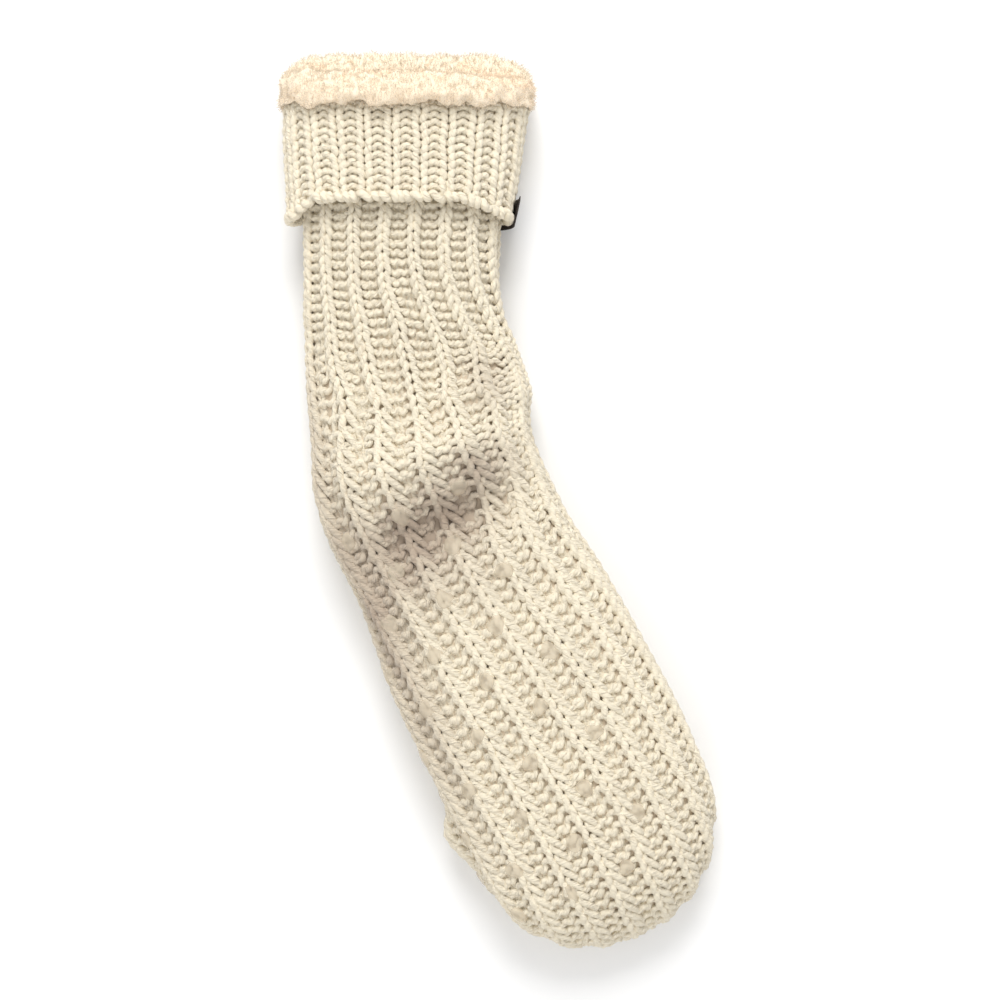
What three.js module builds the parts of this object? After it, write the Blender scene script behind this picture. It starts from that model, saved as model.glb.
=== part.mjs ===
// A chunky ribbed slipper sock with a fleece collar and grip dots, empty and lying on its side.
// +X runs from sole to instep, +Y up the leg, +Z away from the floor.
import * as THREE from 'three';

// Foot, in millimetres and degrees, laid flat as it lies
const footRun = 245;      // bend of the ankle to the tip of the toe
const ballWidth = 109.5;  // sole edge to instep edge across the ball
const footThick = 44;     // floor to the top of the foot
const footTurn = 25.4;    // lean of the foot away from the line of the leg
const bendRadius = 150;   // radius of the middle line at the ankle
const toeRound = 59;      // length of the rounded end
const toeNose = 13;       // height of the toe's tip over the floor

// Leg and turned-down cuff
const legRun = 130;       // bend of the ankle to the fold at the top
const legWidth = 84;
const legThick = 39;
const cuffHeight = 48;    // fold to hem, at the sides
const cuffWall = 3.6;
const cuffFlare = 7;      // free space between leg and cuff at the sides
const cuffClear = 1.9;    // the same above and below
const hemArch = 8;        // rise of the hem in the middle of each face
const hemBead = 1.1;      // how far the bound edge swells beyond the cuff
const foldRise = 5.5;     // height of the rounded fold
const foldSlant = 6;      // how much higher the fold stands on the floor side

// Knit
const wall = 4;           // at the crest of a rib
const ribCount = 18;
const cuffRibCount = 22;
const ribDepth = 1.5;     // crest of the knit column down to the purl channel
const ribDrift = 0.9;     // ribs that turn towards the instep between ankle and toe
const floorPress = 1.8;   // how far the knit is squashed flat by the floor
const creaseRise = 3.2;   // height of the tallest fold at the ankle

// Fleece that fills the mouth
const fleeceThick = 6.5;
const fleeceReach = 45;   // depth that shows inside the leg
const fleeceSeat = 0.8;   // space over the knitted fold
const nearRise = 10;      // above the fold, on the upper face
const farRise = 17.8;     // above the fold, on the floor side
const fleeceLump = 0.9;   // height of the lumps of the pile

// Grip dots and side tab
const dotWidth = 7;
const dotHeight = 1.3;
const dotPitch = 38.5;    // along a channel between two ribs, staggered from one to the next
const dotStart = 38.5;    // bend of the ankle to the first dot
const dotChannels = 5;    // channels that carry dots from the upper face to the sole edge
const tabHeight = 14;
const tabWidth = 22;      // round the side of the cuff
const tabThick = 1.2;
const tabOverhang = 2;    // below the hem
const gap = 0.3;          // between pieces that touch

// How finely the forms are stepped
const ringStep = 8.6;     // between two sections along the sock
const innerStep = 12.9;   // the same inside it
const toeSteps = 7;
const dotSides = 10;
const tabSteps = 6;
const pointsPerRib = 3;
const outerCount = ribCount * pointsPerRib;
const cuffCount = cuffRibCount * pointsPerRib;
const innerCount = Math.round(outerCount / 2);
const outlineSteps = 240;
const ribFade = 2;        // how soon the ribs flatten out over the tip of the toe

// Where rings are placed round the mouth. Turns run from 0, at the outer edge of the fold, over its
// top to 1, at its inner edge. Shares are of cuffHeight, below the fold.
const crookTurns = [0.65, 0.35];
const cuffInsideShares = [0.1, 0.4, 0.7, 0.92];
const cuffOutsideShares = [0.6, 0.3, 0.1];
const overFoldTurns = [0, 0.25, 0.5];
const inFoldTurns = [0.75, 1];
const seatTurns = [1, 0.75, 0.5, 0.25];

// Outline of a dot from its middle below to its top: shares of half its width and of its height
const dotProfile = [[0, 0], [1, 0], [0.8, 0.75], [0, 1]];
const tabPlace = 0.24;    // where the tab starts, as a share of the way round the cuff
const lumpTurn = 2.3;     // radians from one lump of the fleece to the next

const knitColor = 0xe3d7bf;
const fleeceColor = 0xf3e6d0;
const dotColor = 0xd9ccb4;
const tabColor = 0x2a1c18;

// Roundness of a section: 2 is an ellipse, more is squarer
const faceRoundness = 2.4;
const floorRoundness = 3.2;
const toeSoleRoundness = 2.3;
const toeInstepRoundness = 2.0;

// Sections of the leg, from the fold down. at: share of legRun above the bend. back and front:
// shares of legWidth. lift: share of the space that the cuff's lower layer takes up.
const legRows = [
  { at: 1.00, back: 0.500, front: 0.500, lift: 1.00 },
  { at: 0.80, back: 0.505, front: 0.500, lift: 1.00 },
  { at: 0.62, back: 0.512, front: 0.500, lift: 0.90 },
  { at: 0.45, back: 0.512, front: 0.493, lift: 0.50 },
  { at: 0.32, back: 0.518, front: 0.523, lift: 0.20 },
  { at: 0.25, back: 0.508, front: 0.572, lift: 0.08 },
];

// Sections of the foot, from the bend down. at: share of footRun. sole and instep: shares of
// ballWidth. thick: share of footThick.
const footRows = [
  { at: 0.00, sole: 0.413, instep: 0.480, thick: 0.94 },
  { at: 0.07, sole: 0.460, instep: 0.448, thick: 0.97 },
  { at: 0.14, sole: 0.480, instep: 0.424, thick: 1.00 },
  { at: 0.27, sole: 0.475, instep: 0.420, thick: 0.97 },
  { at: 0.37, sole: 0.495, instep: 0.450, thick: 0.98 },
  { at: 0.47, sole: 0.512, instep: 0.470, thick: 1.00 },
  { at: 0.65, sole: 0.508, instep: 0.494, thick: 1.00 },
  { at: 0.76, sole: 0.506, instep: 0.486, thick: 0.98 },
  { at: 1.00, sole: 0.500, instep: 0.480, thick: 0.86 },
];

// Sections of the cuff. at: share of cuffHeight below the fold. back and front: shares of the
// cuff's full width.
const cuffRows = [
  { at: 0.00, back: 0.486, front: 0.516 },
  { at: 0.25, back: 0.488, front: 0.496 },
  { at: 0.60, back: 0.480, front: 0.474 },
  { at: 1.00, back: 0.472, front: 0.436 },
];

// The bound hem, from the inside of the cuff round to its outside. at: share of cuffHeight below
// the fold. inset: share of cuffWall. swell: share of hemBead. ribs: share of ribDepth.
const hemRows = [
  { at: 1.00, inset: 0.75, swell: 0, ribs: 0 },
  { at: 1.02, inset: 0.25, swell: 0, ribs: 0 },
  { at: 0.98, inset: 0.00, swell: 1, ribs: 0 },
  { at: 0.91, inset: 0.00, swell: 1, ribs: 0 },
  { at: 0.87, inset: 0.00, swell: 0, ribs: 1 },
];

// The roll of fleece, from the outside over its top to the inside. outward: 0 at the inner face,
// 1 at the cuff's outer edge. height: share of the rise above the fold.
const rollRows = [
  { outward: 0.97, height: 0.25 },
  { outward: 1.00, height: 0.55 },
  { outward: 0.86, height: 0.88 },
  { outward: 0.60, height: 1.00 },
  { outward: 0.25, height: 0.86 },
  { outward: 0.00, height: 0.45 },
];

// Soft folds on the upper face. at: share of footRun below the bend. across: share of ballWidth
// towards the instep. long and wide: their reach, shares of ballWidth. rise: share of creaseRise.
const foldRows = [
  { at: 0.06, across: 0.00, long: 0.10, wide: 0.42, rise: 1.0 },
  { at: 0.19, across: -0.12, long: 0.09, wide: 0.36, rise: -0.9 },
  { at: -0.02, across: 0.40, long: 0.12, wide: 0.10, rise: 0.8 },
  { at: 0.05, across: 0.42, long: 0.05, wide: 0.12, rise: -0.7 },
  { at: -0.15, across: 0.12, long: 0.08, wide: 0.22, rise: 0.4 },
  { at: 0.30, across: -0.20, long: 0.07, wide: 0.20, rise: 0.3 },
];

const { clamp, degToRad, lerp, smoothstep } = THREE.MathUtils;
const cuffWidth = legWidth + 2 * (cuffWall + cuffFlare);
const cuffThick = legThick + 2 * (cuffWall + cuffClear);
const legLift = cuffWall + cuffClear;

// A smooth curve through one column of a table
function column(rows, place, value) {
  const points = rows.map((row) => ({ place: place(row), value: value(row) }));
  points.sort((a, b) => a.place - b.place);
  const places = points.map((p) => p.place);
  const curve = new THREE.CubicInterpolant(places, points.map((p) => p.value), 1);
  return (at) => curve.evaluate(clamp(at, places[0], places[places.length - 1]))[0];
}

// Runs along the sock are measured from the bend: positive to the toe, negative up the leg
const rows = [
  ...legRows.map((row) => ({
    run: -row.at * legRun,
    back: row.back * legWidth,
    front: row.front * legWidth,
    thick: legThick,
    lift: row.lift * legLift,
  })),
  ...footRows.map((row) => ({
    run: row.at * footRun,
    back: row.sole * ballWidth,
    front: row.instep * ballWidth,
    thick: row.thick * footThick + floorPress,
    lift: 0,
  })),
];
const sizeAt = {};
for (const name of ['back', 'front', 'thick', 'lift']) {
  sizeAt[name] = column(rows, (row) => row.run, (row) => row[name]);
}
const cuffAt = {};
for (const name of ['back', 'front']) {
  cuffAt[name] = column(cuffRows, (row) => row.at, (row) => row[name] * cuffWidth);
}

// The middle line: straight leg, an arc at the ankle, straight foot
function spineAt(run) {
  const turn = degToRad(footTurn);
  const tangent = bendRadius * Math.tan(turn / 2);
  const angle = turn * clamp((run + tangent) / (2 * tangent), 0, 1);
  const ahead = new THREE.Vector2(Math.sin(angle), -Math.cos(angle));
  const side = new THREE.Vector2(Math.cos(angle), Math.sin(angle));
  const point = new THREE.Vector2(bendRadius, tangent).addScaledVector(side, -bendRadius);
  const beyond = Math.sign(run) * Math.max(0, Math.abs(run) - tangent);
  return { point: point.addScaledVector(ahead, beyond), side };
}

// Limits of the section at a run, drawn in by an inset
function bodySection(run, inset = 0) {
  const tip = footRun - inset;
  const start = footRun - toeRound;
  const t = clamp((run - start) / (tip - start), 0, 1);
  const low = sizeAt.lift(run) - floorPress;
  const half = (sizeAt.thick(run) / 2 - inset) * Math.sqrt(1 - t ** 3);
  const middle = lerp(low + sizeAt.thick(run) / 2, toeNose, t ** 3);
  const plan = (power) => (1 - t ** power) ** (1 / power);
  return {
    back: (sizeAt.back(run) - inset) * plan(toeSoleRoundness),
    front: (sizeAt.front(run) - inset) * plan(toeInstepRoundness),
    low: middle - half,
    high: middle + half,
  };
}

// Limits of the cuff's section at a share of its height, drawn in by an inset
function cuffSection(share, inset = 0) {
  return {
    back: cuffAt.back(share) - inset,
    front: cuffAt.front(share) - inset,
    low: inset - floorPress,
    high: cuffThick - floorPress - inset,
  };
}

// One point of a section's outline, from the middle of its upper face towards the instep
function outlinePoint(section, share) {
  const angle = 2 * Math.PI * share;
  const over = Math.cos(angle);
  const out = Math.sin(angle);
  const power = 2 / (over > 0 ? faceRoundness : floorRoundness);
  const width = out > 0 ? section.front : section.back;
  const middle = (section.low + section.high) / 2;
  const half = (section.high - section.low) / 2;
  return new THREE.Vector2(
    Math.sign(out) * width * Math.abs(out) ** power,
    middle + Math.sign(over) * half * Math.abs(over) ** power,
  );
}

// Walks once round a section: its whole length, and the point at a share of that length
function walkRound(section) {
  const points = [];
  const lengths = [];
  for (let i = 0; i <= outlineSteps; i += 1) {
    points.push(outlinePoint(section, i / outlineSteps));
    lengths.push(i ? lengths[i - 1] + points[i].distanceTo(points[i - 1]) : 0);
  }
  const total = lengths[outlineSteps];
  const at = (share) => {
    const length = total * (share - Math.floor(share));
    let i = 1;
    while (i < outlineSteps && lengths[i] < length) i += 1;
    const step = lengths[i] - lengths[i - 1];
    const part = step > 0 ? (length - lengths[i - 1]) / step : 0;
    return points[i - 1].clone().lerp(points[i], part);
  };
  return { total, at };
}

// Points at even steps round a section, the purl channels sunk between the ribs
function evenOutline(section, count, drift = 0, depth = 0) {
  const { at } = walkRound(section);
  return Array.from({ length: count }, (_, j) => {
    const share = j / count + drift / ribCount;
    const point = at(share);
    if (depth > 0 && j % pointsPerRib > 0) {
      const along = at(share + 0.5 / count).sub(at(share - 0.5 / count)).normalize();
      point.add(new THREE.Vector2(along.y, -along.x).multiplyScalar(depth));
    }
    return point;
  });
}

// How far the soft folds raise the upper face at a place
function foldLift(run, across, section, up) {
  const middle = (section.low + section.high) / 2;
  const face = smoothstep(up, middle, section.high);
  let lift = 0;
  for (const row of foldRows) {
    const a = (run - row.at * footRun) / (row.long * ballWidth);
    const b = (across - row.across * ballWidth) / (row.wide * ballWidth);
    lift += row.rise * creaseRise * Math.exp(-a * a - b * b);
  }
  return lift * face;
}

function onFloor(point) {
  return point.setZ(Math.max(point.z, 0));
}

// How many ribs the knit has turned at a run
function driftAt(run) {
  return ribDrift * clamp(run / footRun, 0, 1);
}

// A ring of the sock's foot or leg
function bodyRing(run, count, inset, depth = 0) {
  const section = bodySection(run, inset);
  const spine = spineAt(run);
  const toeShare = clamp((section.front + section.back) / ballWidth, 0, 1);
  return evenOutline(section, count, driftAt(run), depth * Math.min(1, ribFade * toeShare)).map((p) => {
    const place = spine.point.clone().addScaledVector(spine.side, p.x);
    const lift = inset > 0 || p.y > 0 ? foldLift(run, p.x, section, p.y) : 0;
    return onFloor(new THREE.Vector3(place.x, place.y, p.y + lift));
  });
}

// How high the fold's crest stands at a point: higher on the floor side
function foldSlantAt(point) {
  return foldSlant * (0.5 - clamp(point.z / cuffThick, 0, 1));
}

// A ring of the cuff. The hem rises in the middle of each face.
function cuffRing(share, count, inset, depth = 0) {
  const section = cuffSection(share, inset);
  return evenOutline(section, count, 0, depth).map((p) => {
    const point = new THREE.Vector3(p.x, 0, p.y);
    const arch = hemArch * (1 - smoothstep(Math.abs(p.x), 0, cuffWidth / 2)) * share;
    point.y = legRun - share * cuffHeight + arch + foldSlantAt(point) * (1 - share);
    return onFloor(point);
  });
}

// A ring of the rounded fold, turning from its outer edge (0) over the top to its inner edge (1)
function foldRing(turn, count, outerInset, innerInset, rise, depth = 0) {
  const outer = cuffRing(0, count, outerInset, depth);
  const inner = evenOutline(bodySection(-legRun, innerInset), count, 0, 0);
  const angle = Math.PI * turn;
  return outer.map((p, j) => {
    const q = new THREE.Vector3(inner[j].x, p.y, inner[j].y);
    const point = q.lerp(p, (1 + Math.cos(angle)) / 2);
    return onFloor(point.setY(p.y + rise * Math.sin(angle)));
  });
}

// Runs from a start to an end in equal steps near the wanted one
function steps(from, to, wanted) {
  const count = Math.max(1, Math.round(Math.abs(to - from) / wanted));
  return Array.from({ length: count + 1 }, (_, i) => lerp(from, to, i / count));
}

// Runs over the rounded end of the toe, closer together towards the tip
function toeRuns(inset) {
  const start = footRun - toeRound;
  const reach = toeRound - inset;
  return Array.from({ length: toeSteps - 1 }, (_, i) => {
    const angle = (Math.PI / 2) * ((i + 1) / toeSteps);
    return start + reach * Math.cos(angle);
  });
}

function toePole(inset) {
  const spine = spineAt(footRun - inset);
  return [new THREE.Vector3(spine.point.x, spine.point.y, toeNose)];
}

// A closed skin over a row of rings, stitched between rings of any two counts. A ring of one point
// is a pole. A looped row joins its last ring to its first.
function skin(rings, looped = false) {
  const positions = [];
  const starts = [];
  for (const ring of rings) {
    starts.push(positions.length / 3);
    for (const p of ring) positions.push(p.x, p.y, p.z);
  }
  const index = [];
  const pairs = looped ? rings.length : rings.length - 1;
  for (let i = 0; i < pairs; i += 1) {
    const k = (i + 1) % rings.length;
    const m = rings[i].length > 1 ? rings[i].length : 0;
    const n = rings[k].length > 1 ? rings[k].length : 0;
    const a = (j) => starts[i] + (m ? j % m : 0);
    const b = (j) => starts[k] + (n ? j % n : 0);
    let p = 0;
    let q = 0;
    while (p < m || q < n) {
      if (q === n || (p < m && (p + 1) * n <= (q + 1) * m)) {
        index.push(a(p), a(p + 1), b(q));
        p += 1;
      } else {
        index.push(a(p), b(q + 1), b(q));
        q += 1;
      }
    }
  }
  const geometry = new THREE.BufferGeometry();
  geometry.setAttribute('position', new THREE.Float32BufferAttribute(positions, 3));
  geometry.setIndex(index);
  geometry.computeVertexNormals();
  return geometry;
}

// The whole knitted layer: foot, leg, fold and cuff are one piece of knitting
function knitRings() {
  const toeStart = footRun - toeRound;
  const outerTop = -(legRun - foldRise);
  const outside = [
    toePole(0),
    ...toeRuns(0).map((run) => bodyRing(run, outerCount, 0, ribDepth)),
    ...steps(toeStart, outerTop, ringStep).map((run) => bodyRing(run, outerCount, 0, ribDepth)),
  ];
  const crookRise = foldRise - cuffWall;
  const crook = crookTurns.map((turn) => foldRing(turn, outerCount, cuffWall, 0, crookRise));
  const cuffInside = cuffInsideShares.map((share) => cuffRing(share, outerCount, cuffWall));
  const hem = hemRows.map((row) => {
    const inset = row.inset * cuffWall - row.swell * hemBead;
    return cuffRing(row.at, cuffCount, inset, row.ribs * ribDepth);
  });
  const cuffOutside = cuffOutsideShares.map((share) => cuffRing(share, cuffCount, 0, ribDepth));
  const overFold = overFoldTurns.map((turn) => foldRing(turn, cuffCount, 0, wall, foldRise));
  const inFold = inFoldTurns.map((turn) => foldRing(turn, innerCount, 0, wall, foldRise));
  const innerRuns = steps(-(legRun - 2 * foldRise), toeStart, innerStep);
  const inside = [
    ...innerRuns.map((run) => bodyRing(run, innerCount, wall)),
    ...toeRuns(wall).reverse().map((run) => bodyRing(run, innerCount, wall)),
    toePole(wall),
  ];
  return [...outside, ...crook, ...cuffInside, ...hem, ...cuffOutside, ...overFold, ...inFold, ...inside];
}

// How far the fleece stands above the fold at a place round the mouth, higher on the floor side
function fleeceRise(point) {
  const down = 1 - 2 * clamp(point.z / cuffThick, 0, 1);
  return lerp(nearRise, farRise, smoothstep(down, 0.5, 1));
}

// A ring of the fleece roll
function mouthRing({ outward, height }, order) {
  const inner = evenOutline(bodySection(-legRun, wall + gap + fleeceThick), innerCount);
  return cuffRing(0, innerCount, 0).map((p, j) => {
    const lump = fleeceLump * Math.sin(lumpTurn * j + order);
    const point = new THREE.Vector3(inner[j].x, p.y, inner[j].y).lerp(p, outward);
    return onFloor(point.setY(p.y + foldRise + fleeceRise(p) * height + lump * height));
  });
}

// The fleece that shows: a sleeve inside the leg that swells over the knitted fold at the mouth
function fleeceRings() {
  const outer = wall + gap;
  const inner = outer + fleeceThick;
  const runs = steps(-(legRun - fleeceReach), -(legRun - 2 * foldRise), innerStep);
  const crest = foldRise + fleeceSeat;
  return [
    ...runs.map((run) => bodyRing(run, innerCount, outer)),
    ...seatTurns.map((turn) => foldRing(turn, innerCount, 0, outer, crest)),
    ...rollRows.map((row, i) => mouthRing(row, i + 1)),
    ...runs.reverse().map((run) => bodyRing(run, innerCount, inner)),
  ];
}

// A low dome of silicone in the channel after a rib, lying on the knit
function gripDot(run, rib) {
  const ring = bodyRing(run, outerCount, 0, ribDepth);
  const ahead = bodyRing(run + dotWidth / 2, outerCount, 0, ribDepth);
  const left = ring[pointsPerRib * rib + 1];
  const right = ring[pointsPerRib * rib + 2];
  const middle = left.clone().lerp(right, 0.5);
  const next = ahead[pointsPerRib * rib + 1].clone().lerp(ahead[pointsPerRib * rib + 2], 0.5);
  const along = next.sub(middle);
  const normal = along.cross(right.clone().sub(left)).normalize();
  const flat = left.distanceTo(right);
  const slope = Math.max(0, (dotWidth - flat) / 2) * (ribDepth / flat);
  const profile = dotProfile.map(([r, h]) => new THREE.Vector2(r * dotWidth / 2, h * dotHeight));
  const dome = new THREE.LatheGeometry(profile, dotSides);
  dome.applyQuaternion(new THREE.Quaternion().setFromUnitVectors(new THREE.Vector3(0, 1, 0), normal));
  return dome.translate(...middle.addScaledVector(normal, gap + slope).toArray());
}

// A folded tab, bare, sewn round the instep side of the cuff at the hem
function sideTab() {
  const top = 1 - tabHeight / cuffHeight;
  const bottom = 1 + tabOverhang / cuffHeight;
  const corner = (share, out, place) => {
    const { total, at } = walkRound(cuffSection(Math.min(share, 1), -hemBead - gap - out));
    const p = at(tabPlace + (place * tabWidth) / total);
    return new THREE.Vector3(p.x, legRun - share * cuffHeight, p.y);
  };
  const rings = Array.from({ length: tabSteps + 1 }, (_, i) => {
    const place = i / tabSteps;
    const back = [corner(bottom, 0, place), corner(top, 0, place)];
    const face = [corner(top, tabThick, place), corner(bottom, tabThick, place)];
    return [...back, ...face];
  });
  const cap = (ring) => [ring.reduce((sum, p) => sum.add(p), new THREE.Vector3()).divideScalar(ring.length)];
  return skin([cap(rings[0]), ...rings, cap(rings[tabSteps])]);
}

function mesh(name, geometry, color, roughness) {
  const material = new THREE.MeshStandardMaterial({ color, roughness, metalness: 0 });
  const piece = new THREE.Mesh(geometry, material);
  piece.name = name;
  return piece;
}

const group = new THREE.Group();
group.add(mesh('knit_sock', skin(knitRings()), knitColor, 0.92));
group.add(mesh('fleece_lining', skin(fleeceRings(), true), fleeceColor, 1));
group.add(mesh('side_tab', sideTab(), tabColor, 0.6));

let dots = 0;
for (let channel = 0; channel < dotChannels; channel += 1) {
  const rib = (ribCount - channel) % ribCount;
  const first = dotStart + (channel % 2 ? dotPitch / 2 : 0);
  for (let run = first; run < footRun - toeRound / 2; run += dotPitch) {
    dots += 1;
    const name = `grip_dot_${String(dots).padStart(2, '0')}`;
    group.add(mesh(name, gripDot(run, rib), dotColor, 0.3));
  }
}

// Origin under the middle of the whole sock, on the floor
const box = new THREE.Box3().setFromObject(group);
const centre = box.getCenter(new THREE.Vector3());
group.position.set(-centre.x, -centre.y, -box.min.z);

export default group;
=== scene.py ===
# %% [markdown]
# # A chunky ribbed slipper sock
# The real sock is one tube of thick wool, knitted from the edge of the cuff to the toe, with a
# fleece lining that rolls over the mouth, silicone dots on the sole side and a small woven tab.
# This lesson knits it the same way: every stitch is a loop of yarn, laid on the surface of the
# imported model. The model is loaded first, and nothing else is read.

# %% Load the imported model
import math

import bpy
import numpy as np
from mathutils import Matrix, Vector, noise


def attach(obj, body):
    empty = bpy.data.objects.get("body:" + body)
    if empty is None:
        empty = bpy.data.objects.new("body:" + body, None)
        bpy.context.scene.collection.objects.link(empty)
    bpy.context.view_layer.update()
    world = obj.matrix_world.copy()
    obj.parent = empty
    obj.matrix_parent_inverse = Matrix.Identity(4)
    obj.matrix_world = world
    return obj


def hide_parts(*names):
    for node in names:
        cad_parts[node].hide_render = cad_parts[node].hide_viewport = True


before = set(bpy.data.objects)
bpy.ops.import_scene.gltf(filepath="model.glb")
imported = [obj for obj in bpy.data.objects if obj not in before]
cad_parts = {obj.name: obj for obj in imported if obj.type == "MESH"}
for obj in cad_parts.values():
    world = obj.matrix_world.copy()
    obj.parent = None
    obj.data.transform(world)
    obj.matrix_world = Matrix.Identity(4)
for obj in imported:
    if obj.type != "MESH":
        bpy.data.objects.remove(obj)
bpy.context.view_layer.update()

MM = 0.001
PI, TAU = math.pi, 2 * math.pi

# %% [markdown]
# ## The sizes of the sock
# A knitter works from a few sizes: how long the foot and leg are, how wide, how many ribs. These
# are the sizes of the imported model, in millimetres, with short tables where the outline swells
# and narrows. Everything below is measured from the bend of the ankle: "run" is positive down
# to the toe and negative up the leg. "Share" is the place round a section, from the middle of the
# upper face towards the instep.

# %% Sizes of the form, in millimetres
FOOT_RUN, BALL_WIDTH, FOOT_THICK = 245.0, 109.5, 44.0
FOOT_TURN, BEND_RADIUS = math.radians(25.4), 150.0  # between the leg and the foot
TOE_ROUND, TOE_NOSE = 59.0, 13.0  # length of the rounded end, and height of its tip
TOE_START = FOOT_RUN - TOE_ROUND
LEG_RUN, LEG_WIDTH, LEG_THICK = 130.0, 84.0, 39.0
CUFF_HEIGHT, CUFF_WALL = 48.0, 3.6
CUFF_FLARE, CUFF_CLEAR = 7.0, 1.9  # space between cuff and leg, at the sides and above
CUFF_WIDTH = LEG_WIDTH + 2 * (CUFF_WALL + CUFF_FLARE)
CUFF_THICK = LEG_THICK + 2 * (CUFF_WALL + CUFF_CLEAR)
LEG_LIFT = CUFF_WALL + CUFF_CLEAR
HEM_ARCH, HEM_ENDS = 7.0, 0.94  # rise of the hem's middle, and share of the width it goes down to
HEM_FLAT_FRONT, HEM_FLAT_BACK = 0.42, 0.66  # how far the middle of the hem stays straight
FOLD_RISE, FOLD_SLANT = 5.5, 6.0
FLOOR_PRESS = 1.8  # how much the floor flattens the lower face
RIBS, CUFF_RIBS = 18, 22
RIB_DRIFT = 0.9  # ribs that the foot is turned by, from the bend to the toe
FOOT_FROM, FOOT_FULL = -40, 30  # runs between which leg stitches become foot stitches
FACE_ROUND, FLOOR_ROUND = 2.4, 3.2  # powers of the rounded rectangle, above and below
TOE_SOLE_ROUND, TOE_INSTEP_ROUND = 2.3, 2.0
SHIFT = np.array([-41.147, 35.5135, 0.0])  # from the bend of the ankle to the model's middle

# at (share of the leg), back, front (shares of its width), lift (share of the cuff's lower layer)
LEG_ROWS = [
    (1.00, 0.500, 0.500, 1.00),
    (0.80, 0.505, 0.500, 1.00),
    (0.62, 0.512, 0.500, 0.90),
    (0.45, 0.512, 0.493, 0.50),
    (0.32, 0.518, 0.523, 0.20),
    (0.25, 0.508, 0.572, 0.08),
]
# at (share of the foot), sole, instep (shares of the ball's width), thickness (share)
FOOT_ROWS = [
    (0.00, 0.413, 0.480, 0.94),
    (0.07, 0.460, 0.448, 0.97),
    (0.14, 0.480, 0.424, 1.00),
    (0.27, 0.475, 0.420, 0.97),
    (0.37, 0.495, 0.450, 0.98),
    (0.47, 0.512, 0.470, 1.00),
    (0.65, 0.508, 0.494, 1.00),
    (0.76, 0.506, 0.486, 0.98),
    (1.00, 0.500, 0.480, 0.86),
]
# at (share of the cuff below the fold), back, front (shares of its width)
CUFF_ROWS = [
    (0.00, 0.486, 0.516),
    (0.25, 0.488, 0.496),
    (0.60, 0.480, 0.474),
    (1.00, 0.472, 0.436),
]
# folds of the upper face. at (share of the foot), across, long, wide (shares of the ball), rise
FOLD_ROWS = [
    (0.06, 0.00, 0.10, 0.42, 1.0),
    (0.19, -0.12, 0.09, 0.36, -0.9),
    (-0.02, 0.40, 0.12, 0.10, 0.8),
    (0.05, 0.42, 0.05, 0.12, -0.7),
    (-0.15, 0.12, 0.08, 0.22, 0.4),
    (0.30, -0.20, 0.07, 0.20, 0.3),
]
# the same columns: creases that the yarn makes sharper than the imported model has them
CREASE_ROWS = [
    (0.085, 0.00, 0.080, 0.34, 1.1),
    (0.205, 0.04, 0.080, 0.30, -2.1),
    (0.12, -0.40, 0.13, 0.08, -1.1),
    (-0.05, 0.47, 0.14, 0.07, -1.0),
    (0.245, -0.30, 0.05, 0.16, -0.5),
    (-0.065, 0.30, 0.045, 0.16, -0.6),
    (-0.02, 0.20, 0.04, 0.14, 0.5),
    (-0.07, -0.34, 0.10, 0.08, -0.5),
    (0.36, 0.20, 0.08, 0.16, -0.3),
    (0.60, -0.25, 0.10, 0.20, -0.35),
    (0.72, 0.12, 0.12, 0.20, 0.3),
]
CREASE_RISE = 3.2
CREASES = np.array(FOLD_ROWS + CREASE_ROWS) * [
    FOOT_RUN, BALL_WIDTH, BALL_WIDTH, BALL_WIDTH, CREASE_RISE
]
# the floor layer peeps out at the sole edge: from, to, fade and how far
FLAP_FROM, FLAP_TO, FLAP_FADE, FLAP_OUT = 156.0, 194.0, 14.0, 6.5
FLAP_UNDER, FLAP_TOP = 0.35, 0.7  # heights between which it fades, shares of the thickness
FLAP_EDGE = 0.6  # share of the width that stays

# %% [markdown]
# ## The surface that carries the stitches
# The outline of a slack sock is a rounded rectangle that changes along its length. A smooth curve
# goes through each column of a table, and each section is walked round at even steps, because a
# knitter's ribs stand at even distances. The result is kept as a grid of points, so that any
# stitch can ask where it lies and which way is out.


# %% A smooth curve through a table, and soft hills
def curve_through(places, values):
    order = np.argsort(places)
    x, y = np.array(places, float)[order], np.array(values, float)[order]
    chord = np.diff(y) / np.diff(x)
    slope = np.empty_like(y)
    slope[1:-1] = (y[2:] - y[:-2]) / (x[2:] - x[:-2])
    slope[0] = (3 * chord[0] - slope[1]) / 2
    slope[-1] = (3 * chord[-1] - slope[-2]) / 2

    def at(place):
        place = np.clip(place, x[0], x[-1])
        i = np.clip(np.searchsorted(x, place) - 1, 0, len(x) - 2)
        step = x[i + 1] - x[i]
        t = (place - x[i]) / step
        rise = (2 * t**3 - 3 * t**2 + 1) * y[i] + (3 * t**2 - 2 * t**3) * y[i + 1]
        return rise + step * ((t**3 - 2 * t**2 + t) * slope[i] + (t**3 - t**2) * slope[i + 1])

    return at


def smoothstep(x, low, high):
    t = np.clip((x - low) / (high - low), 0, 1)
    return t * t * (3 - 2 * t)


def mix(a, b, share):
    return a + (b - a) * share


def unit(v):
    return v / np.maximum(np.linalg.norm(v, axis=-1, keepdims=True), 1e-9)


def bump(x, at, width):
    return np.exp(-(((x - at) / width) ** 2))


def hills(rows, run, place):
    """The sum of soft hills. Rows hold run, place, reach along, reach across and height."""
    return sum(
        high * bump(run, at, long) * bump(place, aside, wide)
        for at, aside, long, wide, high in rows
    )


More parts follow.
